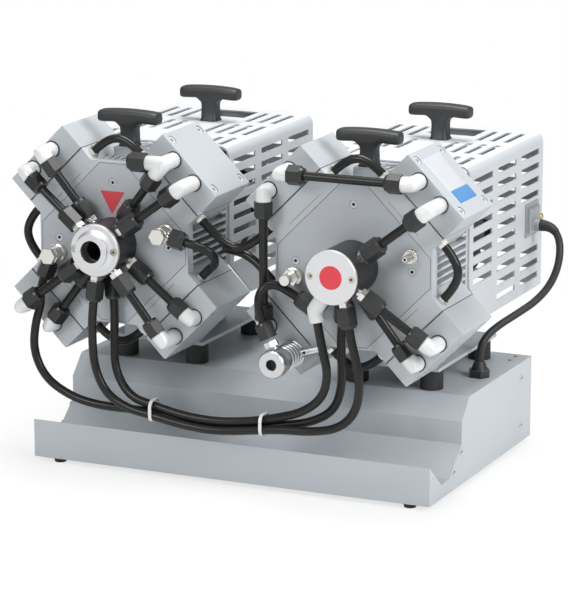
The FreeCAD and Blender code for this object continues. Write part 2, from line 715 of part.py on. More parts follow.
def hub(unit):
    """Black distribution hub, bored along its axis and drilled for each nipple."""
    length = HUB_LENGTH[unit]
    body = along_y(HUB_RADIUS, -length, 0)
    cuts = [along_y(12.0, -length - 1, -8)]
    for start, direction in port_lines(unit):
        cuts.append(rod(start - direction * 8, direction, 4.8 + SLIP, 20))
    if unit == "right":
        angle, level = ELBOW_PORT
        seat = spoke(angle, HUB_RADIUS - 6, LEVELS[unit][level])
        cuts.append(rod(seat, spoke(angle, 1), ELBOW_RADIUS + SLIP, 20))
    return body.cut(cuts)


def hub_nipples(unit):
    """Nickel plated hexagon nipples screwed into the hub."""
    shapes = []
    for start, direction in port_lines(unit):
        neck = rod(start - direction * 8, direction, 4.8, 11)
        flats = hexagon(start + direction * (NIPPLE_REACH - 6), direction, 14.0, 6.0)
        shapes.append(neck.fuse(flats))
    return group(shapes)


def fitting(corner, leg, leg_length, branch, branch_length, extra=None):
    """Round elbow with its outer corner cut off, and a third branch where it is a tee."""
    solids = [rod(corner - leg * ELBOW_RADIUS, leg, ELBOW_RADIUS, leg_length + ELBOW_RADIUS)]
    solids.append(rod(corner - branch * ELBOW_RADIUS, branch, ELBOW_RADIUS, branch_length + ELBOW_RADIUS))
    if extra:
        solids.append(rod(corner, extra, ELBOW_RADIUS - 0.2, TEE_BRANCH))
    body = solids[0].multiFuse(solids[1:])
    normal = V(leg) * -1 - branch
    normal.normalize()
    cutter = Part.makeBox(60, 60, 60, V(-30, -30, 0))
    turn = FreeCAD.Rotation(V(0, 0, 1), normal)
    cutter.Placement = FreeCAD.Placement(corner + normal * (ELBOW_RADIUS * 0.93), turn)
    for direction in (leg, branch):
        behind = Part.makeBox(60, 60, 60, V(-30, -30, 0))
        back = FreeCAD.Rotation(V(0, 0, 1), direction * -1)
        behind.Placement = FreeCAD.Placement(corner - direction * (ELBOW_RADIUS * 0.97), back)
        body = body.cut(behind)
    return body.cut(cutter)


def branch_length(target):
    """Length of the leg that carries the nut. It is longer on the tee, to clear its side branch."""
    return TEE_BRANCH if target == TEE else ELBOW_BRANCH


def head_elbows(unit):
    """White fittings on the heads, each turned towards the link that it serves."""
    shapes = []
    back = V(0, 1, 0)
    for port, target in LINKS[unit]:
        corner = port_point(target)
        start, direction = link_line(unit, port, target)
        side_branch = V(-1, 0, 0) if unit == "left" and target == TEE else None
        stub = target[2] + SEAT_DEPTH
        reach = branch_length(target)
        shapes.append(fitting(corner, back, stub, direction * -1, reach, side_branch))
    for first, second in CROSS_LINKS[unit]:
        a = port_point(first)
        b = port_point(second)
        direction = (b - a).normalize()
        shapes.append(fitting(a, back, first[2] + SEAT_DEPTH, direction, ELBOW_BRANCH))
        shapes.append(fitting(b, back, second[2] + SEAT_DEPTH, direction * -1, ELBOW_BRANCH))
    if unit == "right":
        inward = spoke(ELBOW_PORT[0], -1)
        shapes.append(fitting(hub_elbow_corner(), inward, ELBOW_REACH + 6, ELBOW_DROP, ELBOW_DROP_LENGTH))
    return group(shapes)


def hub_elbow_corner():
    """Corner of the white elbow under the right hub."""
    return spoke(ELBOW_PORT[0], HUB_RADIUS + ELBOW_REACH, LEVELS["right"][ELBOW_PORT[1]])


def nut(start, direction, length):
    """Union nut: hexagon with a turned collar where the hose enters."""
    collar = 3.0
    flats = hexagon(start, direction, NUT_FLATS, length - collar)
    end = start + direction * (length - collar)
    crown = Part.makeCone(NUT_FLATS / 2, NUT_FLATS / 2 - 1.2, collar, end, direction)
    bore = rod(start + direction * 3, direction, HOSE / 2 + SLIP, length)
    return flats.fuse(crown).cut(bore)


def pipe_nuts(unit):
    """All the union nuts of one unit."""
    shapes = []
    for port, target in LINKS[unit]:
        corner = port_point(target)
        start, direction = link_line(unit, port, target)
        shapes.append(nut(start + direction * NIPPLE_REACH, direction, HUB_NUT))
        shapes.append(nut(corner - direction * branch_length(target), direction * -1, HEAD_NUT))
    for first, second in CROSS_LINKS[unit]:
        a = port_point(first)
        b = port_point(second)
        direction = (b - a).normalize()
        shapes.append(nut(a + direction * ELBOW_BRANCH, direction, HEAD_NUT))
        shapes.append(nut(b - direction * ELBOW_BRANCH, direction * -1, HEAD_NUT))
    for angle, level in HOSE_PORTS[unit]:
        seat = spoke(angle, HUB_RADIUS + NIPPLE_REACH, LEVELS[unit][level])
        shapes.append(nut(seat, spoke(angle, 1), HUB_NUT))
    if unit == "left":
        corner = port_point(TEE)
        blank = hexagon(corner + V(-TEE_BRANCH, 0, 0), V(-1, 0, 0), NUT_FLATS, 19)
        end = corner + V(-TEE_BRANCH - 19, 0, 0)
        cap = Part.makeCone(NUT_FLATS / 2, NUT_FLATS / 2 - 1.2, 3, end, V(-1, 0, 0))
        shapes.append(blank.fuse(cap))
        for name in ("drain", "return"):
            start, direction = plate_nut_line(name)
            shapes.append(nut(start, direction, HEAD_NUT))
    else:
        for start, direction in outlet_nut_lines():
            shapes.append(nut(start, direction, HEAD_NUT))
    return group(shapes)


def link_tubes(unit):
    """Straight tubes between hub and heads, and the hooped tubes between neighbouring pads."""
    shapes = []
    spans = []
    for port, target in LINKS[unit]:
        corner = port_point(target)
        start, direction = link_line(unit, port, target)
        reach = branch_length(target) + 3.1
        spans.append((start + direction * (NIPPLE_REACH + 3.1), corner - direction * reach))
    for first, second in CROSS_LINKS[unit]:
        a = port_point(first)
        b = port_point(second)
        direction = (b - a).normalize()
        spans.append((a + direction * (ELBOW_BRANCH + 3.1), b - direction * (ELBOW_BRANCH + 3.1)))
    for a, b in spans:
        direction = (b - a).normalize()
        solid = rod(a, direction, HOSE / 2, (b - a).Length)
        shapes.append(solid.cut(rod(a - direction, direction, HOSE / 2 - 1.5, (b - a).Length + 2)))
    for turn in HOOPS[unit]:
        side = HEAD_HALF_WIDTH
        a = spoke(45, HOOP_RADIUS, HOOP_Y, side)
        b = spoke(135, HOOP_RADIUS, HOOP_Y, -side)
        run = (a - b).Length / (1 + math.sqrt(2))
        over = [a + spoke(45, 0, 0, run), b + spoke(135, 0, 0, -run)]
        hoop = hose([a] + over + [b], HOSE, unit + " hoop")
        shapes.append(swung(hoop, turn))
    return group(shapes)


HOOPS = {"left": (0, 90, 180), "right": (0, 180, 270)}


def inlet_flange():
    """Small-flange inlet of 25 mm nominal bore on the left hub: disc, cone and clamping rim."""
    y = -HUB_LENGTH["left"]
    profile = [(13, y), (30.5, y), (30.5, y - 3.6), (29.7, y - 4.4), (24, y - 4.4), (16, y - 8.6),
               (16, y - 9.6), (20, y - 10.7), (20, y - 13.7), (13, y - 13.7)]
    flange = turned(profile)
    for x in (-25, 25):
        flange = flange.cut(along_y(2.1 + SLIP, y - 6, y + 1, x))
        flange = flange.cut(along_y(4.3, y - 6, y - 2.4, x))
    return flange


def hub_end_disc():
    """Plain aluminium disc that closes the right hub."""
    y = -HUB_LENGTH["right"]
    disc = turned([(0, y), (31, y), (31, y - 2.8), (30.3, y - 3.5), (0, y - 3.5)])
    for x in (-25, 25):
        disc = disc.cut(along_y(2.1 + SLIP, y - 6, y + 1, x))
        disc = disc.cut(along_y(3.8, y - 6, y - 1.6, x))
    return disc


def hub_screws(unit):
    """Two cross-head screws that hold the disc or flange of a hub."""
    y = -HUB_LENGTH[unit]
    top = y - 3.3 if unit == "right" else y - 4.0
    seat = y - 1.6 if unit == "right" else y - 2.4
    shapes = []
    for x in (-25, 25):
        body = along_y(3.6, top, seat, x).fuse(along_y(2.1, seat, y, x))
        flat = box(x - 2.2, x + 2.2, top - 1, top + 1, -0.5, 0.5)
        upright = box(x - 0.5, x + 0.5, top - 1, top + 1, -2.2, 2.2)
        shapes.append(body.cut([flat, upright]))
    return shapes


DRAIN = V(-71.0, 0, -17.0)
RETURN = V(70.0, 0, 18.0)
BANJO_Y = -15.0
BANJO_REACH = 11.9
PLATE_NUTS = {"drain": (DRAIN, V(-0.41, 0, -0.91)), "return": (RETURN, V(0.98, 0, -0.2))}


def plate_nut_line(name):
    """Start and direction of the nut on a banjo fitting."""
    centre, direction = PLATE_NUTS[name]
    heading = V(direction).normalize()
    return V(centre.x, BANJO_Y, centre.z) + heading * BANJO_REACH, heading


def banjo(name):
    """Banjo fitting on the cover plate: collar, ring with side neck, and hexagon bolt head."""
    point, direction = PLATE_NUTS[name]
    collar = along_y(10.5, -7, 0, point.x, point.z)
    ring = along_y(9.5, -22, -7, point.x, point.z)
    neck = rod(V(point.x, BANJO_Y, point.z), V(direction).normalize(), 6.5, BANJO_REACH)
    head_part = hexagon(V(point.x, -30, point.z), V(0, 1, 0), 17.0, 8.0)
    return fuse([collar, ring, neck, head_part])


def plate_fittings(unit):
    """Fittings on the cover plate of one unit."""
    if unit == "left":
        return [banjo("drain"), banjo("return")]
    plug = fuse([along_y(10.5, -7, 0, DRAIN.x, DRAIN.z),
                 hexagon(V(DRAIN.x, -15, DRAIN.z), V(0, 1, 0), 17.0, 8.0),
                 along_y(6.0, -30, -15, DRAIN.x, DRAIN.z)])
    collar = along_y(8.0, -4, 0, RETURN.x, RETURN.z)
    hexa = hexagon(V(RETURN.x, -10, RETURN.z), V(0, 1, 0), 13.0, 6.0)
    profile = [(1.6, -10), (4.2, -10), (3.4, -13), (4.4, -13)]
    profile += [(3.2, -17), (4.2, -17), (2.8, -21), (1.6, -21)]
    barb = turned(profile, RETURN.x, RETURN.z)
    base = fuse([collar, hexa]).cut(along_y(1.6, -11, -1, RETURN.x, RETURN.z))
    return [plug, fuse([base, barb])]


def outlet_axis():
    """Axis point of the outlet body on the face of its head."""
    return spoke(HEAD_ANGLES["ll"], PORT_RADIUS, 0, PORT_SPREAD)


SILENCER_PORT_Y = -37.0
SILENCER_PORT = V(-0.4, 0, 0.917).normalize()


def outlet_corner():
    """Corner of the black elbow on the right hub."""
    return spoke(OUTLET_PORT[0], HUB_RADIUS + OUTLET_REACH, LEVELS["right"][OUTLET_PORT[1]])


def outlet_nut_lines():
    """The two nuts of the outlet hose: at the hub elbow and on the outlet body."""
    axis = outlet_axis()
    top = V(axis.x, SILENCER_PORT_Y, axis.z) + SILENCER_PORT * 22
    return [(outlet_corner() + OUTLET_TURN * 8, OUTLET_TURN), (top, SILENCER_PORT)]


def outlet_silencer():
    """Ribbed outlet body on the last head, with a hose port on top and a side stem."""
    axis = outlet_axis()
    profile = [(0, SEAT_DEPTH), (9, SEAT_DEPTH), (9, 0), (13.5, 0), (13.5, -6)]
    profile += [(11.5, -6), (11.5, -13)]
    y = -13.0
    while y > -28:
        profile += [(14.5, y), (14.5, y - 1.8), (12.6, y - 1.8), (12.6, y - 3.2)]
        y -= 3.2
    profile += [(14.0, y), (14.0, -43), (11.0, -43), (11.0, -46), (15.0, -46), (15.0, -57.5), (12.5, -60),
                (6.0, -60), (6.0, -20), (0, -20)]
    body = turned(profile, axis.x, axis.z)
    centre = V(axis.x, SILENCER_PORT_Y, axis.z)
    port = rod(centre + SILENCER_PORT * 8, SILENCER_PORT, 5.5, 10)
    port = port.fuse(hexagon(centre + SILENCER_PORT * 15, SILENCER_PORT, 15.0, 7.0))
    stem_at = V(axis.x + 8, -9.5, axis.z)
    stem = rod(stem_at, V(1, 0, 0), 3.2, 10).fuse(rod(stem_at + V(6, 0, 0), V(1, 0, 0), 5.6, 31))
    hole = rod(stem_at + V(15, -10, 0), V(0, 1, 0), 1.8, 10)
    return fuse([body, port, stem]).cut(hole)


def outlet_elbow():
    """Black elbow on the right hub that starts the outlet hose."""
    angle, level = OUTLET_PORT
    out = spoke(angle, 1)
    start = spoke(angle, HUB_RADIUS + NIPPLE_REACH, LEVELS["right"][level])
    leg = rod(start, out, 7.0, OUTLET_REACH - NIPPLE_REACH)
    turn = rod(outlet_corner(), OUTLET_TURN, 7.0, 8.0)
    return fuse([leg, Part.makeSphere(7.6, outlet_corner()), turn])


def place(shape, unit):
    """Move a shape from the unit's own frame to its place on the tray."""
    copy = shape.copy()
    copy.translate(V(UNITS[unit], FACE_Y, AXIS_HEIGHT))
    return copy


def at(unit, x, y, z):
    """A point given in a unit's own frame."""
    return V(UNITS[unit] + x, FACE_Y + y, AXIS_HEIGHT + z)


def hose_exit(unit, index):
    """Where a bundle hose leaves the nut on a hub, and a point inside the nut."""
    angle, level = HOSE_PORTS[unit][index]
    y = LEVELS[unit][level]
    inner = spoke(angle, HUB_RADIUS + 12, y)
    outer = spoke(angle, HUB_RADIUS + 46, y)
    return at(unit, inner.x, inner.y, inner.z), at(unit, outer.x, outer.y, outer.z)


def between(x, y, z):
    """A point of a crossing hose: x from the machine's middle, y from the tray's front, z from the axis."""
    return V(x * UNIT_SPACING / ROUTE_SPACING, TRAY_FRONT + y, AXIS_HEIGHT + z)


def bundle_routes():
    """Routes of the three hoses that cross from the left unit to the right unit."""
    drain_start, drain_dir = plate_nut_line("drain")
    first_in, first_out = hose_exit("left", 0)
    second_in, second_out = hose_exit("left", 1)
    third_in, third_out = hose_exit("right", 0)
    fourth_in, fourth_out = hose_exit("right", 1)
    elbow = hub_elbow_corner() + ELBOW_DROP * ELBOW_DROP_LENGTH
    elbow = at("right", elbow.x, elbow.y, elbow.z)
    drain = at("left", drain_start.x, drain_start.y, drain_start.z)
    top = [
        second_in, second_out, between(-143, 0, -112.9), between(-140, -4, -146.9),
        between(-118, -10, -173.9), between(-86, -12, -180.4), between(-48, -12, -188.4),
        between(-8, -12, -190.4), between(32, -12, -185.9), between(68, -13, -177.4),
        between(103, -16, -165.9), between(129, -20, -144.9), between(136, -22, -116.9),
        elbow + ELBOW_DROP * 32, elbow]
    back = [
        drain + drain_dir * 3.1, drain + drain_dir * 30, between(-237, -1, -76.9),
        between(-243.2, -5, -99.9), between(-246, -6, -132.9), between(-229, -9, -163.9),
        between(-195, -8, -182.9), between(-160, -7, -189.4), between(-124, -6.5, -189.4),
        between(-86, -6.5, -189.4), between(-46, -6.5, -197.4), between(-6, -6.5, -199.4),
        between(34, -6.5, -194.4), between(72, -6.5, -186.9), between(108, -6, -179.9),
        between(135, -2, -163.9), between(143, 1, -136.9), between(142, 2, -104.9), fourth_out,
        fourth_in]
    front = [
        first_in, first_out, between(-163, -16, -106.9), between(-161, -16, -140.9),
        between(-146, -17, -170.9), between(-118, -17.5, -185.9), between(-84, -17.5, -190.9),
        between(-46, -17.5, -197.9), between(-6, -17.5, -199.9), between(34, -17.5, -194.9),
        between(74, -17.5, -188.9), between(114, -19, -186.9), between(148, -21, -178.9),
        between(169, -22, -158.9), between(175, -22, -128.9), between(170, -22, -98.9), third_out,
        third_in]
    return {"crossover_hose_1": top, "crossover_hose_2": back, "crossover_hose_3": front}


def cable_ties():
    """Two ties round the three hoses: a rounded band and its lock."""
    shapes = []
    half = TIE_WIDTH / 2
    for middle in (between(-86, -12.1, -185.2), between(53, -12.1, -186.2)):
        bands = []
        for trim, reach in ((0.0, half), (TIE_THICK, half + 1.2)):
            y = TIE_DEPTH / 2 - trim
            z = TIE_HEIGHT / 2 - trim
            band = box(-reach, reach, -y, y, -z, z)
            long = [e for e in band.Edges if abs(e.CenterOfMass.x) < 0.1]
            bands.append(band.makeFillet(TIE_ROUND - trim, long))
        back = TIE_DEPTH / 2
        lock = box(-half - 0.8, half + 0.8, back - 1, back + 2.4, -4.2, 1.3)
        tie = fuse([bands[0].cut(bands[1]), lock])
        tie.translate(middle)
        shapes.append(tie)
    return group(shapes)


def side_port(unit, name, side, y):
    """Where a hose enters the side of a pad."""
    p = spoke(HEAD_ANGLES[name], SIDE_HOSE_RADIUS, y, side * HEAD_HALF_WIDTH)
    return at(unit, p.x, p.y, p.z)


def collar(angle, radius, y, side):
    """Hexagon collar round a hose where it enters the side of a pad."""
    start = spoke(angle, radius, y, side * HEAD_HALF_WIDTH)
    direction = spoke(angle, 0, 0, side)
    body = hexagon(start, direction, COLLAR_FLATS, COLLAR_LENGTH)
    return body.cut(rod(start - direction, direction, HOSE / 2 + SLIP, COLLAR_LENGTH + 2))


def pad_collars(unit):
    """Collars at the ends of the hooped tubes and of the hoses that enter a pad."""
    shapes = []
    for turn in HOOPS[unit]:
        shapes.append(collar(45 + turn, HOOP_RADIUS, HOOP_Y, 1))
        shapes.append(collar(135 + turn, HOOP_RADIUS, HOOP_Y, -1))
    if unit == "left":
        shapes.append(collar(HEAD_ANGLES["ur"], SIDE_HOSE_RADIUS, SIDE_HOSE_Y, -1))
        shapes.append(collar(HEAD_ANGLES["lr"], SIDE_HOSE_RADIUS, SIDE_HOSE_Y, 1))
    else:
        shapes.append(collar(HEAD_ANGLES["ul"], SIDE_HOSE_RADIUS, SIDE_HOSE_Y, 1))
        shapes.append(collar(HEAD_ANGLES["ll"], SIDE_HOSE_RADIUS, VENT_HOSE_Y, -1))
    return shapes


def short_hoses():
    """Hoses between pads, plate fittings, hub and outlet body."""
    start = side_port("left", "ur", -1, SIDE_HOSE_Y)
    end = side_port("right", "ul", 1, SIDE_HOSE_Y)
    transfer = [start, start + V(31, 0, -31), end + V(-31, 0, -31), end]
    socket = side_port("right", "ll", -1, VENT_HOSE_Y)
    steps = [V(-14, 0, 14), V(-29, 3, 26), V(-48, 5, 34), V(-69, 7, 35)]
    vent = [socket] + [socket + step for step in steps]
    nut_start, nut_dir = plate_nut_line("return")
    first = at("left", nut_start.x, nut_start.y, nut_start.z)
    last = side_port("left", "lr", 1, SIDE_HOSE_Y)
    reach = PAD_RADIUS + 25
    back = [first + nut_dir * 3.1, first + nut_dir * 30, at("left", reach - 0.5, -8, 2),
            at("left", reach + 0.5, 3, -13), last + V(13, 0, 13), last]
    (a, a_dir), (b, b_dir) = outlet_nut_lines()
    a = at("right", a.x, a.y, a.z)
    b = at("right", b.x, b.y, b.z)
    outlet = [a + a_dir * 3.1, a + a_dir * 27, at("right", 18.5 - PAD_RADIUS, -28, -21),
              at("right", 5.5 - PAD_RADIUS, -35, -30), b + b_dir * 33, b + b_dir * 3.1]
    return {"transfer_hose": transfer, "vent_hose": vent, "return_hose": back, "outlet_hose": outlet}


GLAND = V(GUARD_HALF_WIDTH - 18.1, CONNECTOR_Y - 118, 0)
GLAND_HEIGHT = 18.5
CABLE_STEPS = [(11.9, 0, -4), (24.9, 0, -4), (36.9, -5, -15), (41.9, -13, -33), (40.9, -22, -53),
               (34.9, -33, -71), (23.9, -48, -86), (9.9, -66, -97), (-4.1, -86, -107), (-14.1, -105, -117)]


def cable_route():
    """Motor lead from the connector in the guard to the gland on the tray."""
    w = GUARD_HALF_WIDTH
    top = tray_top() + GLAND_HEIGHT
    route = [at("right", w + x, CONNECTOR_Y + y, z) for x, y, z in CABLE_STEPS]
    return route + [at("right", GLAND.x, GLAND.y, top + 15), at("right", GLAND.x, GLAND.y, top)]


def cable_fittings():
    """Connector block in the guard of each unit, and the gland where the lead enters the tray."""
    shapes = []
    w = GUARD_HALF_WIDTH
    for unit in UNITS:
        y = CONNECTOR_Y
        low = CONNECTOR_Z - CONNECTOR_HALF
        high = CONNECTOR_Z + CONNECTOR_HALF
        block = box(w - 14, w + 6, y - 17, y + 15, low, high)
        block = block.makeFillet(2.0, [e for e in block.Edges if abs(e.CenterOfMass.x - w - 6) < 0.1])
        rim = box(w, w + 1.8, y - 22, y + 20, low - 5, high + 5)
        boss = rod(V(w + 5, y, CONNECTOR_Z - 7), V(1, 0, 0), 7.5, 6.9)
        shapes.append(place(fuse([block, rim, boss]), unit))
    seat = V(GLAND.x, GLAND.y, tray_top())
    crown = Part.makeCone(9.5, 6.5, GLAND_HEIGHT - 9, seat + V(0, 0, 9), V(0, 0, 1))
    gland = fuse([hexagon(seat, V(0, 0, 1), 22.0, 9), crown])
    shapes.append(place(gland, "right"))
    return group(shapes)


def panel_screws():
    """Screws in the tray ends, cover plates and hub discs, and the earth screw on each guard."""
    shapes = []
    for x, out in ((-TRAY_WIDTH / 2, -1), (TRAY_WIDTH / 2, 1)):
        rear = TRAY_DEPTH - 36
        low = CHANNEL_FLOOR + 6.1
        for y, z in ((CHANNEL_END + 12.5, low), (CHANNEL_RISE_END - 3.2, low + 18),
                     (rear, low), (rear, TRAY_HEIGHT - 18.4)):
            centre = V(x, TRAY_FRONT + y, FOOT_HEIGHT + z)
            disc = Part.makeCone(4.2, 3.2, 1.6, centre, V(out, 0, 0))
            shapes.append(disc.cut(hexagon(centre + V(out * 0.6, 0, 0), V(out, 0, 0), 2.6, 2)))
    for unit in UNITS:
        for screw in cover_screws() + hub_screws(unit):
            shapes.append(place(screw, unit))
        earth = rod(V(GUARD_HALF_WIDTH, CONNECTOR_Y + 26, 0), V(1, 0, 0), 4.5, 3)
        shapes.append(place(earth, unit))
    return group(shapes)


def build():
    """Every node of the machine by name."""
    angles = HEAD_ANGLES.values()
    nodes = {
        "tray_body": tray_body(),
        "tray_end_plates": tray_ends(),
        "panel_screws": panel_screws(),
        "cable_ties": cable_ties(),
        "cable_fittings": cable_fittings(),
        "inlet_flange": place(inlet_flange(), "left"),
        "hub_end_disc": place(hub_end_disc(), "right"),
        "outlet_fittings": group([place(outlet_silencer(), "right"), place(outlet_elbow(), "right")]),
        "rubber_feet": group([place(s, u) for u in UNITS for s in buffers()] + tray_feet()),
        "base_frames": group([place(base_frame(), u) for u in UNITS]),
        "head_screws": group([place(s, u) for u in UNITS for a in angles for s in head_screws(a)]),
        "valve_discs": group([place(s, u) for u in UNITS for a in angles for s in valve_discs(a)]),
        "diaphragms": group([place(diaphragm(a), u) for u in UNITS for a in angles]),
        "plate_fittings": group([place(s, u) for u in UNITS for s in plate_fittings(u) + pad_collars(u)]),
        "motor_cable": hose(cable_route(), CABLE, "motor cable"),
    }
    for name, route in bundle_routes().items():
        nodes[name] = hose(route, HOSE, name)
    for name, route in short_hoses().items():
        nodes[name] = hose(route, HOSE, name)
    case = crankcase()
    plate = cover_plate()
    parts = {
        "crankcase": case,
        "cover_plate": plate,
        "rods_rising": group(connecting_rod("ur") + connecting_rod("ll")),
        "rods_falling": group(connecting_rod("ul") + connecting_rod("lr")),
        "crankshaft": crankshaft(),
        "shaft_bearings": shaft_bearings(),
        "motor": motor(),
        "fan": fan(),
        "guard": guard(),
        "carry_handles": carry_handles(),
    }
    for name, angle in HEAD_ANGLES.items():
        parts["head_" + name] = head(angle)
    for unit in UNITS:
        for name, shape in parts.items():
            nodes[unit + "_" + name] = place(shape, unit)
        nodes[unit + "_hub"] = place(hub(unit), unit)
        nodes[unit + "_hub_nipples"] = place(hub_nipples(unit), unit)
        nodes[unit + "_head_elbows"] = place(head_elbows(unit), unit)
        nodes[unit + "_pipe_nuts"] = place(pipe_nuts(unit), unit)
        nodes[unit + "_link_tubes"] = place(link_tubes(unit), unit)
    return nodes


def main():
    """Write one STEP file for each node."""
    os.makedirs("parts", exist_ok=True)
    nodes = build()
    for name, shape in nodes.items():
        shape.exportStep(os.path.join("parts", name + ".step"))
    print(len(nodes), "nodes")


main()
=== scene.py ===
# %% [markdown]
# # Twin diaphragm vacuum pump
# Two pump units stand side by side on a folded tray. The solids come from the packed model,
# already in metres and in place. This notebook gives them their finishes, lays the hoses and
# adds the small pieces that solids leave out. Places on a unit are measured from the middle of
# its front face, where the shaft would come out, so that one formula serves both units.
# %% Load the packed model
import json
import math
import bpy
import numpy as np
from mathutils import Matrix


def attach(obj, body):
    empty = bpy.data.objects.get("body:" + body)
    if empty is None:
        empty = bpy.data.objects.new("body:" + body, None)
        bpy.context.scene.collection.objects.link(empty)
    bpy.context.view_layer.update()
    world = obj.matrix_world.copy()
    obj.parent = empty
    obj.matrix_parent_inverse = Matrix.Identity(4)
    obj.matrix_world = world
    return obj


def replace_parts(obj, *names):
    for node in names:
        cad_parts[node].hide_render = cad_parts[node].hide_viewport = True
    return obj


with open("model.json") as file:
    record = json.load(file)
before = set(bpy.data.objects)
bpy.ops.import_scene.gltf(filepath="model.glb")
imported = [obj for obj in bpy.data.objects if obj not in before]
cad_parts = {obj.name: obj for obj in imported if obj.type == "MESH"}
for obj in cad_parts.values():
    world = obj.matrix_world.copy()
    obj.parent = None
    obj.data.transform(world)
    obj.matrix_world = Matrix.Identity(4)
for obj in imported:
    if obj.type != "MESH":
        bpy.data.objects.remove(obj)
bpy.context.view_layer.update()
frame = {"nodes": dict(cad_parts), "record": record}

nodes = frame["nodes"]
# The shafts: X of each unit, Y of the units' front faces and Z of both, in metres.
AXIS = {"left": -0.150, "right": 0.150}
FACE_Y = -0.143
AXIS_Z = 0.2689

# %% [markdown]
# ## The camera
# The photograph was taken from the right and a little above, from far away with a long lens,
# so the two units hardly shrink with distance. A wide lens close by could frame the same tray,
# but its edges would run together too fast. The values come from matching the tray's corners
# and the units' faces to the picture.
# %% Camera
optics = bpy.data.cameras.new("long_lens")
optics.lens = 191.31
optics.sensor_width = 36.0
camera = bpy.data.objects.new("camera", optics)
camera.location = (1.50807, -3.32563, 1.05185)
camera.rotation_euler = (math.radians(76.643), 0.0, math.radians(24.385))
bpy.context.scene.collection.objects.link(camera)
bpy.context.scene.camera = camera
print("camera", tuple(round(v, 2) for v in camera.location))

# %% [markdown]
# ## Hoses and the motor lead
# Three hoses cross from one hub to the other. They hang in the channel behind the tray's front
# lip, and two ties keep them together. A lead leaves the right unit's guard. Each is a NURBS
# curve of order 3: it stays smooth where a chain of arcs would look like bent wire, and it stays
# a curve, which can be bent later. Each route repeats the points that the solid tube follows,
# in millimetres.
# %% Routes
ROUTES = {
    "crossover_hose_1": [
        (-146.3, -154.0, 227.1), (-143.4, -154.0, 193.2), (-143.0, -158.0, 156.0), (-140.0, -162.0, 122.0),
        (-118.0, -168.0, 95.0), (-86.0, -170.0, 88.5), (-48.0, -170.0, 80.5), (-8.0, -170.0, 78.5),
        (32.0, -170.0, 83.0), (68.0, -171.0, 91.5), (103.0, -174.0, 103.0), (129.0, -178.0, 124.0),
        (136.0, -180.0, 152.0), (129.0, -180.0, 179.1), (122.6, -180.0, 210.4)],
    "crossover_hose_2": [
        (-227.2, -158.0, 238.2), (-238.2, -158.0, 213.7), (-237.0, -159.0, 192.0), (-243.2, -163.0, 169.0),
        (-246.0, -164.0, 136.0), (-229.0, -167.0, 105.0), (-195.0, -166.0, 86.0), (-160.0, -165.0, 79.5),
        (-124.0, -164.5, 79.5), (-86.0, -164.5, 79.5), (-46.0, -164.5, 71.5), (-6.0, -164.5, 69.5),
        (34.0, -164.5, 74.5), (72.0, -164.5, 82.0), (108.0, -164.0, 89.0), (135.0, -160.0, 105.0),
        (143.0, -157.0, 132.0), (142.0, -156.0, 164.0), (140.7, -156.0, 193.5), (144.9, -156.0, 227.2)],
    "crossover_hose_3": [
        (-156.6, -175.0, 227.4), (-161.9, -175.0, 193.8), (-163.0, -174.0, 162.0), (-161.0, -174.0, 128.0),
        (-146.0, -175.0, 98.0), (-118.0, -175.5, 83.0), (-84.0, -175.5, 78.0), (-46.0, -175.5, 71.0),
        (-6.0, -175.5, 69.0), (34.0, -175.5, 74.0), (74.0, -175.5, 80.0), (114.0, -177.0, 82.0),
        (148.0, -179.0, 90.0), (169.0, -180.0, 110.0), (175.0, -180.0, 140.0), (170.0, -180.0, 170.0),
        (163.2, -180.0, 194.1), (157.3, -180.0, 227.5)],
    "motor_cable": [
        (258.0, 169.0, 264.9), (271.0, 169.0, 264.9), (283.0, 164.0, 253.9), (288.0, 156.0, 235.9),
        (287.0, 147.0, 215.9), (281.0, 136.0, 197.9), (270.0, 121.0, 182.9), (256.0, 103.0, 171.9),
        (242.0, 83.0, 161.9), (232.0, 64.0, 151.9), (228.0, 51.0, 137.9), (228.0, 51.0, 122.9)],
}
# The cords' outer widths, in metres.
WIDTHS = {node: 0.010 for node in ROUTES} | {"motor_cable": 0.009}


def soft_line(name, points, diameter):
    """An order-3 NURBS curve steered by its points, with a round section of the diameter in metres.

    The section's radius is written at each point and the bevel is 1, so that the curve's own
    box, which takes in the points' radii, is the box of the tube.
    """
    curve = bpy.data.curves.new(name, "CURVE")
    curve.dimensions = "3D"
    spline = curve.splines.new("NURBS")
    spline.points.add(len(points) - 1)
    places = np.column_stack([np.array(points) / 1000, np.ones(len(points))])
    spline.points.foreach_set("co", places.ravel())
    spline.points.foreach_set("radius", [diameter / 2] * len(points))
    spline.order_u = 3
    spline.use_endpoint_u = True
    spline.resolution_u = 10
    curve.bevel_depth = 1.0
    curve.bevel_resolution = 6
    curve.use_fill_caps = True
    piece = bpy.data.objects.new(name, curve)
    bpy.context.scene.collection.objects.link(piece)
    return piece


cords = {}
for node, route in ROUTES.items():
    cords[node] = soft_line(node + "_line", route, WIDTHS[node])
    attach(cords[node], "frame")
    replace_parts(cords[node], node)
print("hoses", sorted(cords))

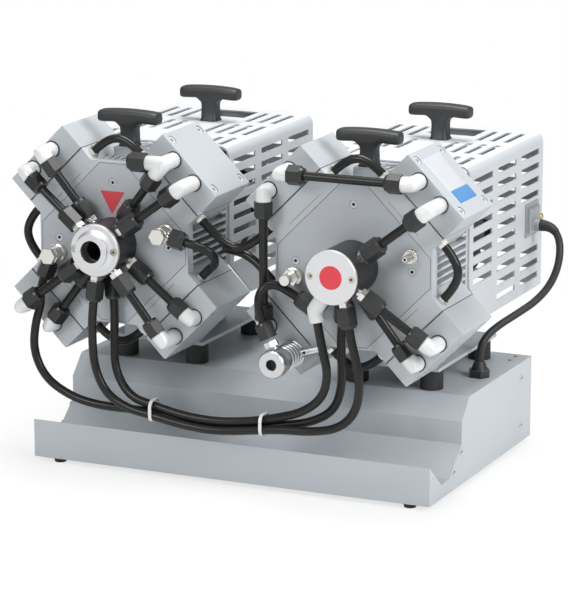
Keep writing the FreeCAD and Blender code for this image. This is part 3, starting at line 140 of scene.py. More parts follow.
# %% [markdown]
# ## Shader maths in Python
# A finish is a network of nodes. It could be wired by hand in the shader editor, but dozens of
# wires are hard to follow. Written as Python expressions it stays readable: the first class wraps
# a socket, and `+`, `-` and `*` on it add the Math nodes. The second owns a node tree, and one
# method of it adds any other node.
# %% A socket that does arithmetic
class Signal:
    """One output socket of a node; operators on it return a new Signal."""

    def __init__(self, recipe, socket):
        self.recipe = recipe
        self.socket = socket

    def maths(self, operation, *others):
        return self.recipe.make("ShaderNodeMath", {"operation": operation}, (self,) + others)

    def __add__(self, other):
        return self.maths("ADD", other)

    def __sub__(self, other):
        return self.maths("SUBTRACT", other)

    def __rsub__(self, other):
        return self.recipe.make("ShaderNodeMath", {"operation": "SUBTRACT"}, (other, self))

    def __mul__(self, other):
        return self.maths("MULTIPLY", other)

    __radd__ = __add__
    __rmul__ = __mul__

    def clamp(self):
        return self.recipe.make("ShaderNodeClamp", {}, (self, 0.0, 1.0))

    def over(self, low, high):
        """0 below low, 1 above high, smooth between."""
        settings = {"interpolation_type": "SMOOTHSTEP"}
        return self.recipe.make("ShaderNodeMapRange", settings, (self, low, high, 0.0, 1.0))


print("a signal can", [name for name in vars(Signal) if not name.startswith("_")])


# %% A node tree filled from Python
class Recipe:
    """The node tree of a material or of the sky."""

    def __init__(self, owner):
        owner.use_nodes = True
        self.owner = owner
        self.tree = owner.node_tree

    def make(self, kind, settings, inputs=(), output=0):
        """Add a node, set its settings first, then fill its sockets with values or Signals."""
        node = self.tree.nodes.new(kind)
        for key, value in settings.items():
            setattr(node, key, value)
        named = inputs.items() if isinstance(inputs, dict) else enumerate(inputs)
        for key, value in named:
            if isinstance(value, Signal):
                self.tree.links.new(value.socket, node.inputs[key])
            elif value is not None:
                node.inputs[key].default_value = value
        return Signal(self, node.outputs[output])

    def vector(self, operation, inputs, output=0):
        """Vector Math: its result is a vector, or a number where Value is asked for."""
        return self.make("ShaderNodeVectorMath", {"operation": operation}, inputs, output)

    def part(self, vector, k):
        """The X, Y or Z of a vector, for k of 0, 1 or 2."""
        return self.make("ShaderNodeSeparateXYZ", {}, (vector,), k)

    def place(self):
        """The point in the machine's own frame, in metres."""
        return self.make("ShaderNodeTexCoord", {}, (), "Object")

    def normal(self):
        """The direction in which the surface faces."""
        return self.make("ShaderNodeNewGeometry", {}, (), "Normal")

    def ray(self, kind):
        """1 for light rays of one kind: Camera, Glossy or Transmission."""
        return self.make("ShaderNodeLightPath", {}, (), f"Is {kind} Ray")

    def noise(self, size, detail=2.0, roughness=0.5):
        """Fractal noise from 0 to 1 whose grains are about size metres across."""
        values = {"Vector": self.place(), "Scale": 1.0 / size, "Detail": detail, "Roughness": roughness}
        return self.make("ShaderNodeTexNoise", {}, values)

    def blend(self, factor, first, second):
        """Mix two colours by a factor. The Mix node's colours are its sockets 6, 7 and, out, 2."""
        return self.make("ShaderNodeMix", {"data_type": "RGBA"}, {0: factor, 6: first, 7: second}, 2)

    def bump(self, height, distance, strength=1.0, normal=None):
        """Turn a height from 0 to 1 into a relief that is distance metres deep."""
        values = {"Height": height, "Distance": distance, "Strength": strength, "Normal": normal}
        return self.make("ShaderNodeBump", {}, values)


class FinishRecipe(Recipe):
    """One finish. Fixed values sit on the shader's own sockets, varying ones arrive as Signals."""

    def __init__(self, name, **fixed):
        super().__init__(bpy.data.materials.new(name))
        self.shader = self.tree.nodes["Principled BSDF"]
        for socket, value in fixed.items():
            self.shader.inputs[socket.replace("_", " ")].default_value = value

    def drive(self, socket, signal):
        self.tree.links.new(signal.socket, self.shader.inputs[socket])


def colour(r, g, b):
    """A colour as seen on a screen, 0 to 255, turned into the linear values that shaders use."""
    return tuple(((v / 255 + 0.055) / 1.055) ** 2.4 for v in (r, g, b)) + (1.0,)


def shade(tone, times, plus=0.0):
    """A lighter or darker tone: each linear value times a factor, plus a constant, at most 1."""
    return tuple(min(v * times + plus, 1.0) for v in tone[:3]) + (1.0,)


print("colour of the tray paint", [round(v, 3) for v in colour(183, 189, 194)])

# %% [markdown]
# ## Painted metal
# The tray, guards, castings and heads share one satin grey paint. A plain grey would look like
# plastic. Three things make it read as paint: a fine orange peel that breaks up the highlight, a
# slow drift of tone, and edges painted paler, partly as wear where the paint thins and partly as a
# painted highlight. The edge mask compares the true normal with one rounded over the corner, so it
# needs no extra mesh. The guards are palest on top: faces that look up are blended towards a pale
# tone, which is painted light from above. The head screws are zinc under a dull film, which looks
# like a paler paint. These finishes differ only in tone, grain and gloss, so one function makes
# them all.
# %% Paint


def rounded_normal(recipe, radius):
    """The surface's normal, rounded over the corners within a radius in metres."""
    return recipe.make("ShaderNodeBevel", {"samples": 4}, {"Radius": radius})


def edge_mask(recipe, rounded):
    """1 at edges: six times (1 minus the dot product of the rounded and true normals), clamped."""
    facing = recipe.vector("DOT_PRODUCT", (rounded, recipe.normal()), "Value")
    return ((1.0 - facing) * 6.0).clamp()


def paint(name, tone, grain, depth, radius=0.0007, rough=0.42, paler_share=0.0):
    """Satin paint over metal, its peel as large as grain and as deep as depth, in metres.

    The share given last is how much pale tone is painted on faces that look up, from normals whose
    Z is 0.75 or more: painted light from above.
    """
    recipe = FinishRecipe(name, Metallic=0.0, IOR=1.45, Coat_Roughness=0.3)
    rounded = rounded_normal(recipe, radius)
    edge = edge_mask(recipe, rounded)
    drift = recipe.noise(0.09, 3.0)
    peel = recipe.noise(grain, 3.0, 0.6)
    base = recipe.blend(drift, shade(tone, 0.95), tone)
    # Painted light from above: faces that look up are blended towards a pale tone.
    if paler_share:
        upward = recipe.part(recipe.normal(), 2).over(0.75, 0.97)
        base = recipe.blend(upward * paler_share, base, colour(232, 234, 235))
    # Edges painted paler: partly wear where the paint thins, partly a painted highlight.
    recipe.drive("Base Color", recipe.blend(edge * 0.6, base, shade(tone, 1.10)))
    recipe.drive("Roughness", (rough - 0.05) + peel * 0.10 + edge * 0.06)
    recipe.drive("Coat Weight", 0.12 + drift * 0.10)
    recipe.drive("Normal", recipe.bump(peel, depth, 0.5, rounded))
    return recipe.owner


FINISH = {
    "sheet_grey": paint("tray_paint", colour(183, 189, 194), 0.0011, 0.00003),
    # The guards' tops get painted light from above.
    "guard_grey": paint("guard_paint", colour(188, 192, 196), 0.0011, 0.00003, radius=0.0009, paler_share=0.55),
    "cast_grey": paint("casting_paint", colour(184, 189, 193), 0.0016, 0.00006, radius=0.0008, rough=0.46),
    "head_grey": paint("head_paint", colour(180, 185, 189), 0.0010, 0.00003, radius=0.0006),
    "plate_grey": paint("cover_paint", colour(176, 181, 186), 0.0009, 0.00002, radius=0.0005, rough=0.40),
    "motor_paint": paint("motor_paint", colour(104, 107, 110), 0.0020, 0.00008, radius=0.0010, rough=0.55),
    "screw_zinc": paint("screw_zinc", colour(206, 208, 211), 0.0009, 0.00002, radius=0.0004),
}
print("painted finishes", sorted(FINISH))

# %% [markdown]
# ## Bare metal
# Turned aluminium carries fine rings round its own axis, left by the tool. They could be a picture
# wrapped on the face, but a formula stays sharp at any distance: the axis is subtracted from the
# point, and a sine of the distance makes the ridges. Plated nickel, brass and steel have only a
# faint cloudiness.
# %% Metals
METAL_EDGE = 0.0003


def fine_relief(recipe, rounded=None):
    """The faint grain of a machined face, a hundredth of a millimetre deep."""
    return recipe.bump(recipe.noise(0.0004), 0.00001, 0.4, rounded)


def metal(name, tone, rough, cloud=0.006):
    """Plain metal whose roughness and tone drift slightly, in clouds of that size in metres."""
    recipe = FinishRecipe(name, Metallic=1.0)
    haze = recipe.noise(cloud, 4.0, 0.6)
    recipe.drive("Base Color", recipe.blend(haze, shade(tone, 0.86), tone))
    recipe.drive("Roughness", rough + haze * 0.10)
    recipe.drive("Normal", fine_relief(recipe, rounded_normal(recipe, METAL_EDGE)))
    return recipe.owner


def turned(name, tone, axis, rough, pitch=0.0005):
    """Turned metal: the sine of the distance from an axis parallel to Y plus the way along it."""
    recipe = FinishRecipe(name, Metallic=1.0)
    moved = recipe.vector("SUBTRACT", (recipe.place(), axis))
    flat = recipe.vector("MULTIPLY", (moved, (1.0, 0.0, 1.0)))
    radius = recipe.vector("LENGTH", (flat,), "Value")
    along = recipe.part(moved, 1)
    ridges = ((radius + along) * (2 * math.pi / pitch)).maths("SINE") * 0.5 + 0.5
    haze = recipe.noise(0.004, 3.0)
    recipe.drive("Base Color", recipe.blend(ridges * 0.35 + haze * 0.4, tone, shade(tone, 0.88)))
    recipe.drive("Roughness", rough + ridges * 0.08 + haze * 0.06)
    recipe.drive("Normal", recipe.bump(ridges, 0.000006, 0.6, rounded_normal(recipe, METAL_EDGE)))
    return recipe.owner


def axis_of(unit, x=0.0, y=0.0, z=0.0):
    """A point given in millimetres from the middle of a unit's front face."""
    return (AXIS[unit] + x / 1000, FACE_Y + y / 1000, AXIS_Z + z / 1000)


OUTLET_AT = (0.0764, FACE_Y, 0.1613)
FINISH["inlet_metal"] = turned("inlet_metal", colour(222, 223, 225), axis_of("left"), 0.33)
FINISH["disc_metal"] = turned("disc_metal", colour(226, 227, 229), axis_of("right"), 0.34)
FINISH["outlet_metal"] = turned("outlet_metal", colour(210, 211, 213), OUTLET_AT, 0.24, 0.0004)
FINISH["bare_aluminium"] = metal("rod_metal", colour(205, 206, 208), 0.35)
FINISH["steel"] = metal("screw_steel", colour(214, 215, 217), 0.36, 0.003)
FINISH["nickel"] = metal("nickel_plate", colour(226, 224, 218), 0.16, 0.004)
FINISH["brass"] = metal("earth_brass", colour(208, 192, 148), 0.26, 0.002)
print("metals", [name for name in FINISH if "metal" in name])

# %% [markdown]
# ## Plastics and rubber
# The union nuts and the hubs are black glass-filled plastic, the elbows a white fluoropolymer, the
# hoses glossy black tube. What tells them apart is mostly roughness and grain: a moulded nut
# is satin with a sandy grain, a drawn tube is smooth and shiny with a slow waviness. So there are
# two recipes, one for what comes out of a mould and one for what is drawn through a die.
# %% Plastics


def moulded(name, tone, rough, grain, depth, radius=0.0006, coat=0.0):
    """Moulded plastic: sandy grain, and edges painted slightly paler, partly as wear and partly as a painted
    highlight.
    """
    recipe = FinishRecipe(name, IOR=1.5, Coat_Weight=coat, Coat_Roughness=0.12)
    rounded = rounded_normal(recipe, radius)
    edge = edge_mask(recipe, rounded)
    sand = recipe.noise(grain, 3.0, 0.7)
    base = recipe.blend(recipe.noise(0.02), shade(tone, 0.85), tone)
    # Edges painted paler: partly wear, partly a painted highlight.
    recipe.drive("Base Color", recipe.blend(edge * 0.5, base, shade(tone, 1.5, 0.01)))
    recipe.drive("Roughness", rough - 0.04 + sand * 0.10 + edge * 0.05)
    recipe.drive("Normal", recipe.bump(sand, depth, 0.6, rounded))
    return recipe.owner


def drawn_tube(name, tone, rough):
    """Drawn tube or sheathed cable: shiny, with a slow waviness and a little dust."""
    recipe = FinishRecipe(name, IOR=1.45, Specular_IOR_Level=0.32)
    wave = recipe.noise(0.012)
    paler_share = recipe.noise(0.0012, 4.0, 0.7).over(0.55, 0.8)
    recipe.drive("Base Color", recipe.blend(paler_share * 0.5, tone, shade(tone, 1.0, 0.02)))
    recipe.drive("Roughness", rough + wave * 0.06 + paler_share * 0.10)
    recipe.drive("Normal", recipe.bump(wave, 0.0002, 0.25))
    return recipe.owner


MOULDED = [
    ("black_plastic", "hub_plastic", (31, 32, 33), 0.40, 0.0007, 0.00003),
    ("nut_plastic", "nut_plastic", (36, 37, 37), 0.28, 0.0007, 0.00002, 0.0005),
    ("white_plastic", "elbow_plastic", (224, 226, 226), 0.20, 0.004, 0.00004, 0.0014, 0.3),
    ("rubber", "buffer_rubber", (40, 40, 40), 0.62, 0.0012, 0.00006),
    ("handle_plastic", "handle_plastic", (44, 45, 46), 0.44, 0.0009, 0.00006, 0.0012),
    ("tie_white", "tie_nylon", (226, 227, 226), 0.32, 0.002, 0.00002, 0.0003),
]
for key, name, tone, *rest in MOULDED:
    FINISH[key] = moulded(name, colour(*tone), *rest)
FINISH["hose_black"] = drawn_tube("hose_black", colour(32, 32, 31), 0.20)
FINISH["cable_black"] = drawn_tube("cable_black", colour(44, 45, 46), 0.40)
print("plastics done", len(FINISH), "finishes")

# %% [markdown]
# ## Two finishes on one solid
# The connector blocks in the guards and the gland on the tray are one node of the model, but the
# blocks are pale die-cast metal and the gland is black plastic. The node could be cut in two.
# A step on the height of the point chooses between them and leaves the mesh alone.
# %% Connector finish
# A height between the gland's top and the blocks, in metres.
PARTING_HEIGHT = 0.158


def connector_finish():
    """Pale metal above the tray's gland, black plastic on it: a step on Z between the two."""
    recipe = FinishRecipe("connector_finish", IOR=1.5)
    rounded = rounded_normal(recipe, 0.0006)
    edge = edge_mask(recipe, rounded)
    on_block = recipe.part(recipe.place(), 2).over(PARTING_HEIGHT, PARTING_HEIGHT + 0.002)
    grain = recipe.noise(0.0009, 3.0, 0.6)
    cast = recipe.blend(grain, colour(150, 154, 158), colour(168, 171, 175))
    both = recipe.blend(on_block, colour(36, 37, 38), cast)
    # Edges painted paler: partly wear, partly a painted highlight.
    recipe.drive("Base Color", recipe.blend(edge * 0.4, both, colour(225, 226, 227)))
    recipe.drive("Roughness", 0.38 + grain * 0.10)
    recipe.drive("Metallic", on_block * 0.55)
    recipe.drive("Normal", recipe.bump(grain, 0.00003, 0.5, rounded))
    return recipe.owner


FINISH["connector"] = connector_finish()
print("connector finish, plastic below", PARTING_HEIGHT)

# %% [markdown]
# ## Small screws
# The screws of the covers, the hub discs and the tray are one node too. On the covers they are
# plated, on the discs they are yellow, and on the tray they are painted over. Each hex socket, and
# the gap round a cover screw's head, gets painted shade: a socket a few pixels wide isn't worth a
# mesh, so the finish darkens what lies near the middle of each screw, and a thin ring at a cover
# screw's rim, by the distance to the nearest of the known centres.
# %% Screw finish
# Distances of screws from a unit's shaft in millimetres, and Y and Z of a tray end's screws in metres.
COVER_SCREW, DISC_SCREW = 70.4, 24.0
TRAY_SCREWS = [(-0.086, 0.028), (-0.064, 0.046), (0.132, 0.028), (0.132, 0.086)]
FACING_FRONT = (1.0, 0.0, 1.0)
FACING_SIDE = (0.0, 1.0, 1.0)


def nearest_to(recipe, places, plane):
    """Distance in metres to the nearest of some points, in the plane of the parts that are 1."""
    flat = recipe.vector("MULTIPLY", (recipe.place(), plane))
    nearest = None
    for place in places:
        here = recipe.vector("DISTANCE", (flat, tuple(np.array(place) * plane)), "Value")
        nearest = here if nearest is None else nearest.maths("MINIMUM", here)
    return nearest


def screw_finish():
    """Three looks for one node: steps on X, Y and Z tell where a screw sits.

    The disc screws lie in front of Y = -0.176 m, the cover screws from there to -0.137 m, and the
    tray screws beyond 0.24 m to either side and below 0.11 m.
    """
    recipe = FinishRecipe("panel_screw_metal")
    point = recipe.place()
    across, depth, height = [recipe.part(point, k) for k in range(3)]
    behind_disc = depth.over(-0.178, -0.174)
    on_cover = behind_disc * (1.0 - depth.over(-0.138, -0.136))
    on_tray = across.maths("ABSOLUTE").over(0.235, 0.24) * (1.0 - height.over(0.11, 0.12))
    ring = [(COVER_SCREW, 0.0), (-COVER_SCREW, 0.0), (0.0, COVER_SCREW), (0.0, -COVER_SCREW)]
    covers = [axis_of(unit, x, 0.0, z) for unit in AXIS for x, z in ring]
    discs = [axis_of(unit, x) for unit in AXIS for x in (-DISC_SCREW, DISC_SCREW)]
    ends = [(0.0, y, z) for y, z in TRAY_SCREWS]
    near_cover = nearest_to(recipe, covers, FACING_FRONT)
    # Painted shade: each socket, and the gap round a cover screw's head, is darkened by the distance to the
    # screw's centre.
    cover_painted_shade = (1.0 - near_cover.over(0.0016, 0.0019)) + near_cover.over(0.0045, 0.0048)
    disc_painted_shade = 1.0 - nearest_to(recipe, discs, FACING_FRONT).over(0.0011, 0.0015)
    tray_painted_shade = 1.0 - nearest_to(recipe, ends, FACING_SIDE).over(0.0015, 0.0019)
    haze = recipe.noise(0.002, 3.0)
    yellow = recipe.blend(disc_painted_shade, colour(202, 194, 174), colour(70, 62, 54))
    plated = recipe.blend(haze, colour(176, 179, 182), colour(198, 200, 203))
    bare = recipe.blend(on_tray, plated, colour(183, 189, 194))
    shaded = recipe.blend(cover_painted_shade * on_cover + tray_painted_shade * on_tray, bare, colour(38, 39, 40))
    recipe.drive("Base Color", recipe.blend(behind_disc, yellow, shaded))
    recipe.drive("Metallic", 1.0 - on_tray)
    recipe.drive("Roughness", 0.36 + haze * 0.12)
    recipe.drive("Normal", fine_relief(recipe))
    return recipe.owner


FINISH["cover_screws"] = screw_finish()
print("screws: on covers", 4 * len(AXIS), "on discs", 2 * len(AXIS), "on the tray", 2 * len(TRAY_SCREWS))

# %% [markdown]
# ## Finishes onto solids
# Each node names a material slot in the record, and that name picks its finish, so a finish is
# chosen in one place. A few nodes need one of their own, such as the flange whose turning rings
# follow its own axis.
# %% Assign
SPECIAL = {"inlet_flange": "inlet_metal", "hub_end_disc": "disc_metal", "outlet_fittings": "outlet_metal",
           "left_motor": "motor_paint", "right_motor": "motor_paint", "cable_fittings": "connector",
           "panel_screws": "cover_screws", "head_screws": "screw_zinc"}


def dress(piece, finish):
    """Put one finish on every material slot of a piece."""
    if not piece.data.materials:
        piece.data.materials.append(FINISH[finish])
    for k in range(len(piece.data.materials)):
        piece.data.materials[k] = FINISH[finish]


for part in frame["record"]["subparts"]:
    dress(nodes[part["node"]], SPECIAL.get(part["node"], part["material_slot"]))
for node, piece in cords.items():
    dress(piece, "cable_black" if node == "motor_cable" else "hose_black")
print("dressed", len(nodes), "nodes")

# %% [markdown]
# ## Surfaces from formulas
# Every added piece is a grid of points: a first parameter runs along the piece, a second one
# round it. Such a shape could be built from primitives and modifiers, but a formula says exactly
# what it is and can be changed by one number. The helper turns a grid into a closed mesh: a pole
# in the middle of the first row and one in the middle of the last row close its ends.
# %% Grid to mesh


def closed_grid(points, start):
    """Vertices and faces of a grid (rows, columns, 3) that closes round and ends in two poles."""
    rows, columns = points.shape[:2]
    poles = np.array([points[0].mean(0), points[-1].mean(0)])
    verts = np.concatenate([points.reshape(-1, 3), poles])
    r, c = np.meshgrid(np.arange(rows - 1), np.arange(columns), indexing="ij")
    n = (c + 1) % columns
    quads = np.stack([r * columns + c, r * columns + n, (r + 1) * columns + n, (r + 1) * columns + c], -1)
    ring = np.arange(columns)
    after = (ring + 1) % columns
    first, last = rows * columns, rows * columns + 1
    low = np.stack([after, ring, np.full(columns, first)], -1)
    high = np.stack([(rows - 1) * columns + ring, (rows - 1) * columns + after, np.full(columns, last)], -1)
    faces = (quads.reshape(-1, 4) + start).tolist() + (low + start).tolist() + (high + start).tolist()
    return verts, faces


def build_piece(name, grids, finish, body="frame", crease=35.0):
    """One object from several closed grids, smooth except where faces meet at more than crease degrees."""
    verts, faces = [], []
    count = 0
    for grid in grids:
        some, more = closed_grid(grid, count)
        verts.append(some)
        faces += more
        count += len(some)
    mesh = bpy.data.meshes.new(name)
    mesh.from_pydata(np.concatenate(verts).tolist(), [], faces)
    mesh.validate()
    mesh.shade_smooth()
    mesh.set_sharp_from_angle(angle=math.radians(crease))
    piece = bpy.data.objects.new(name, mesh)
    bpy.context.scene.collection.objects.link(piece)
    dress(piece, finish)
    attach(piece, body)
    return piece


def unit_vector(v):
    v = np.array(v, float)
    return v / np.linalg.norm(v)


def round_the_line(columns):
    """Angles of a full turn, without the last one, which is the first again."""
    return np.linspace(0, 2 * math.pi, columns, endpoint=False)


def ring_grid(centres, outs, sides, radii, columns=32):
    """Rings round a line: centre + radius * (cos * out + sin * side) for each angle."""
    turn = round_the_line(columns)
    across = np.cos(turn)[None, :, None] * outs[:, None] + np.sin(turn)[None, :, None] * sides[:, None]
    return centres[:, None] + np.asarray(radii)[:, None, None] * across


# A direction that no turned piece points along, from which the first column of its grid is found.
ASKEW = (0.31, 0.2, 0.93)


def turned_grid(start, axis, profile, columns=32):
    """A turned piece: rows of (distance along the axis, radius) in millimetres."""
    axis = unit_vector(axis)
    out = unit_vector(np.cross(axis, ASKEW))
    side = np.cross(axis, out)
    profile = np.array(profile, float) / 1000
    centres = np.array(start) + profile[:, :1] * axis
    ones = np.ones((len(profile), 1))
    return ring_grid(centres, ones * out, ones * side, profile[:, 1], columns)


print("grid helpers, unit axis of", ASKEW, "is", unit_vector(ASKEW).round(3))

# %% [markdown]
# ## White elbows
# The head fittings are moulded in one piece: a stub in the head, a round bend, and a stub in the
# union nut. A bend swept with a large radius would look like a water pipe. The real moulding is
# nearly square outside, so its sections fan out from the inner corner, and their outer half is
# stretched more than half way to the corner of a mitre. A black seal ring sits where the leg
# enters the head. Each link below is the angle of its seat on the hub, the seat's level, the head,
# the port's side, and how far the elbow's corner stands off the head. A crossing joins two heads.
# %% Layout of the links
HEAD_TURN = {"ur": 45.0, "ul": 135.0, "ll": -135.0, "lr": -45.0}
# The ports of a head: their distance from the shaft, half their spacing, and the depth of the seat.
PORT_RADIUS, PORT_SPREAD, SEAT = 128.0, 17.5, 6.0
# The hub's radius, the length of an elbow's branch and of the tee's, and an elbow's tube radius.
HUB_RADIUS, BRANCH, TEE_BRANCH = 30.0, 10.5, 20.0
ELBOW = 9.0
# The one port that carries a tee, and how far the two rows of seats stand before a unit's face.
TEE = ("left", "ur", 1)
LEVEL = {"left": {"front": -32.0, "rear": -11.0}, "right": {"front": -37.0, "rear": -13.0}}
LINKS = {
    "left": [(142, "front", "ul", 1, 19), (131, "rear", "ul", -1, 25), (60, "rear", "ur", 1, 28),
             (40, "front", "ur", -1, 33), (-34, "rear", "lr", 1, 12), (-57, "front", "lr", -1, 31),
             (-142, "front", "ll", -1, 33), (-127, "rear", "ll", 1, 12)],
    "right": [(37, "front", "ur", -1, 38), (-41, "front", "lr", 1, 25), (-58, "rear", "lr", -1, 14)],
}
CROSSINGS = [(("ul", -1, 25), ("ur", 1, 25)), (("ul", 1, 16), ("ll", -1, 15))]


def spoke(angle, radius, y=0.0, side=0.0):
    """A point at a radius on a spoke from the shaft, in millimetres, moved along the tangent."""
    cos, sin = math.cos(math.radians(angle)), math.sin(math.radians(angle))
    return np.array([radius * cos - side * sin, y, radius * sin + side * cos])


def port(head, side, stand):
    """The point that stands off a head's port, in millimetres."""
    return spoke(HEAD_TURN[head], PORT_RADIUS, -stand, side * PORT_SPREAD)


def link_ends(unit):
    """For each link: its seat on the hub, its corner over the port, the stand and the branch."""
    for angle, level, head, side, stand in LINKS[unit]:
        branch = TEE_BRANCH if (unit, head, side) == TEE else BRANCH
        yield spoke(angle, HUB_RADIUS, LEVEL[unit][level]), port(head, side, stand), stand, branch


print("links", {unit: len(rows) for unit, rows in LINKS.items()}, "crossings", len(CROSSINGS))


# %% Elbow surface
def elbow_grid(corner, leg, leg_length, branch, branch_length, square=0.62):
    """Rings along the leg, fanned about the inner corner, then along the branch.

    A mitre's outer wall is at 2 / cos(m) radii from the inner corner, where m is the turn from the
    nearer leg's last ring. The outer side of a ring is at 2 radii, and the share square of what
    lies between them is added to its outer half.
    """
    leg, branch = unit_vector(leg), unit_vector(branch)
    half = math.acos(np.dot(leg, branch)) / 2
    pivot = corner + unit_vector(leg + branch) * ELBOW / math.sin(half)
    cut = ELBOW / math.tan(half)
    first = unit_vector(corner + leg * cut - pivot)
    last = unit_vector(corner + branch * cut - pivot)
    t = np.linspace(0, 1, 17)
    angle = math.acos(np.dot(first, last))
    wall = (1 / np.cos(np.minimum(t, 1 - t) * angle) - 1) * 2 * square
    fan = (np.sin((1 - t) * angle)[:, None] * first + np.sin(t * angle)[:, None] * last) / math.sin(angle)
    # The rounded end of a stub: distances from its tip and shares of the radius.
    ends = np.array([(0, 0.55), (0, 0.90), (0.5, 1.0)])
    legs = [(leg_length - d, r) for d, r in ends] + [(leg_length * 0.5 + cut * 0.5, 1.0)]
    stubs = [(branch_length * 0.5 + cut * 0.5, 1.0)] + [(branch_length - d, r) for d, r in ends[::-1]]
    centres = [corner + leg * d for d, r in legs] + list(pivot + fan * ELBOW)
    centres += [corner + branch * d for d, r in stubs]
    outs = np.array([first] * len(legs) + list(fan) + [last] * len(stubs))
    radii = np.array([r for d, r in legs] + [1.0] * len(t) + [r for d, r in stubs]) * ELBOW
    swell = np.array([0.0] * len(legs) + list(wall) + [0.0] * len(stubs))
    normal = unit_vector(np.cross(leg, branch))
    grid = ring_grid(np.array(centres), outs, np.ones((len(outs), 1)) * normal, radii)
    turn = round_the_line(grid.shape[1])
    stretch = swell[:, None] * np.maximum(np.cos(turn), 0)[None] * radii[:, None]
    return grid + stretch[..., None] * outs[:, None]


BACK = np.array([0.0, 1.0, 0.0])
sample = elbow_grid(np.zeros(3), BACK, 2 * BRANCH, (1, 0, 0), BRANCH)
print("an elbow's rows, columns and parts", sample.shape)

# %% Elbows, tee and seal rings
# The elbow that leaves the right hub downwards: its spoke, how far out its corner is, the lengths
# of its leg and branch, and the branch's heading.
LOW_SPOKE, LOW_OUT, LOW_LEG, LOW_BRANCH = -124, 24, 30.0, 14.0
LOW_HEADING = (0.2, 0, -0.98)


def elbows(unit):
    """All the white fittings of one unit, in metres in the machine's frame."""
    grids = []
    for start, corner, stand, branch in link_ends(unit):
        grids.append(elbow_grid(corner, BACK, stand + SEAT, start - corner, branch))
        if branch == TEE_BRANCH:
            sleeve = [(0, 6.0), (0, 8.8), (TEE_BRANCH - 0.5, 8.8), (TEE_BRANCH, 8.3), (TEE_BRANCH, 5.0)]
            grids.append(turned_grid(corner / 1000, (-1, 0, 0), sleeve) * 1000)
    if unit == "right":
        for first, second in CROSSINGS:
            a, b = port(*first), port(*second)
            grids.append(elbow_grid(a, BACK, first[2] + SEAT, b - a, BRANCH))
            grids.append(elbow_grid(b, BACK, second[2] + SEAT, a - b, BRANCH))
        corner = spoke(LOW_SPOKE, HUB_RADIUS + LOW_OUT, LEVEL["right"]["front"])
        grids.append(elbow_grid(corner, spoke(LOW_SPOKE, -1), LOW_LEG, LOW_HEADING, LOW_BRANCH))
    return [grid / 1000 + np.array(axis_of(unit)) for grid in grids]


def seals(unit):
    """A flat black ring on the head round each leg, from a radius of 8.0 to 10.2 mm."""
    spots = [(head, side) for angle, level, head, side, stand in LINKS[unit]]
    if unit == "right":
        spots += [spot[:2] for pair in CROSSINGS for spot in pair]
    ring = [(-0.4, 8.0), (-0.4, 9.8), (0.5, 10.2), (1.1, 10.0), (1.5, 9.4), (1.5, 8.0)]
    origin = np.array(axis_of(unit))
    return [turned_grid(origin + port(head, side, 0.0) / 1000, (0, -1, 0), ring) for head, side in spots]


for unit in AXIS:
    build_piece(unit + "_port_seals", seals(unit), "rubber")
    piece = build_piece(unit + "_elbow_mouldings", elbows(unit), "white_plastic", crease=75)
    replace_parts(piece, unit + "_head_elbows")
    print(piece.name, len(piece.data.vertices), "vertices")

# %% [markdown]
# ## Short hoses and hooped tubes
# The short hoses and the hoops between neighbouring pads are stiff, and the photograph shows them
# as one even bow. The solids use straight runs and arcs. Here the same points steer a quadratic
# B-spline, and a ring is carried along it without twisting. The straight link tubes are the same
# sweep with two points. These tubes don't hang free, so they are meshes and not curves.
# %% Swept tubes


def bow(points, steps=14):
    """A quadratic B-spline with its ends clamped.

    Each inner point b bends one span: (1-t)^2 * a + 2t(1-t) * b + t^2 * c, where a and c are the
    middles towards the points before and after it, or the end points themselves.
    """
    p = np.array(points, float)
    if len(p) == 2:
        return p[0] + (p[1] - p[0]) * np.linspace(0, 1, 3)[:, None]
    t = np.linspace(0, 1, steps)[:, None]
    middles = (p[1:-2] + p[2:-1]) / 2
    starts = np.concatenate([p[:1], middles])
    ends = np.concatenate([middles, p[-1:]])
    spans = (1 - t) ** 2 * starts[:, None] + 2 * t * (1 - t) * p[1:-1, None] + t ** 2 * ends[:, None]
    line = spans.reshape(-1, 3)
    # The end of a span is the start of the next one, and is kept once.
    keep = np.r_[True, np.linalg.norm(np.diff(line, axis=0), axis=1) > 1e-6]
    return line[keep]


def headings(line):
    """The unit tangent at each point of a line."""
    tangent = np.gradient(line, axis=0)
    return tangent / np.linalg.norm(tangent, axis=1)[:, None]


# A direction that no tube sets out along, as for the turned pieces.
TUBE_ASKEW = (0.2, 0.93, 0.31)


def tube_grid(points, radius, columns=28):
    """A ring of the radius carried along the bow, with a small round at both ends.

    The ring's first direction is what is left of the one before it, after its part along the
    new heading is taken off, so the tube doesn't twist.
    """
    line = bow(points)
    tangent = headings(line)
    outs = [unit_vector(np.cross(tangent[0], TUBE_ASKEW))]
    for heading in tangent[1:]:
        outs.append(unit_vector(outs[-1] - heading * np.dot(outs[-1], heading)))
    outs = np.array(outs)
    sides = np.cross(tangent, outs)
    radii = np.full(len(line), radius)
    past, small = 0.2, radius * 0.9
    longer = np.concatenate([line[:1] - tangent[:1] * past, line, line[-1:] + tangent[-1:] * past])
    again = np.r_[0, np.arange(len(line)), len(line) - 1]
    return ring_grid(longer, outs[again], sides[again], np.r_[small, radii, small], columns)


print("a bow of three points has", len(bow([(0, 0, 0), (9, 0, 0), (9, 9, 0)])), "places")

# %% Tubes and short hoses
# Hoops by the turn of the pad that they start from, and where they leave its side.
HOOPS = {"left": (0, 90, 180), "right": (0, 180, 270)}
HOOP_RADIUS, HOOP_Y, HOOP_SIDE = 94.0, 14.0, 47.5
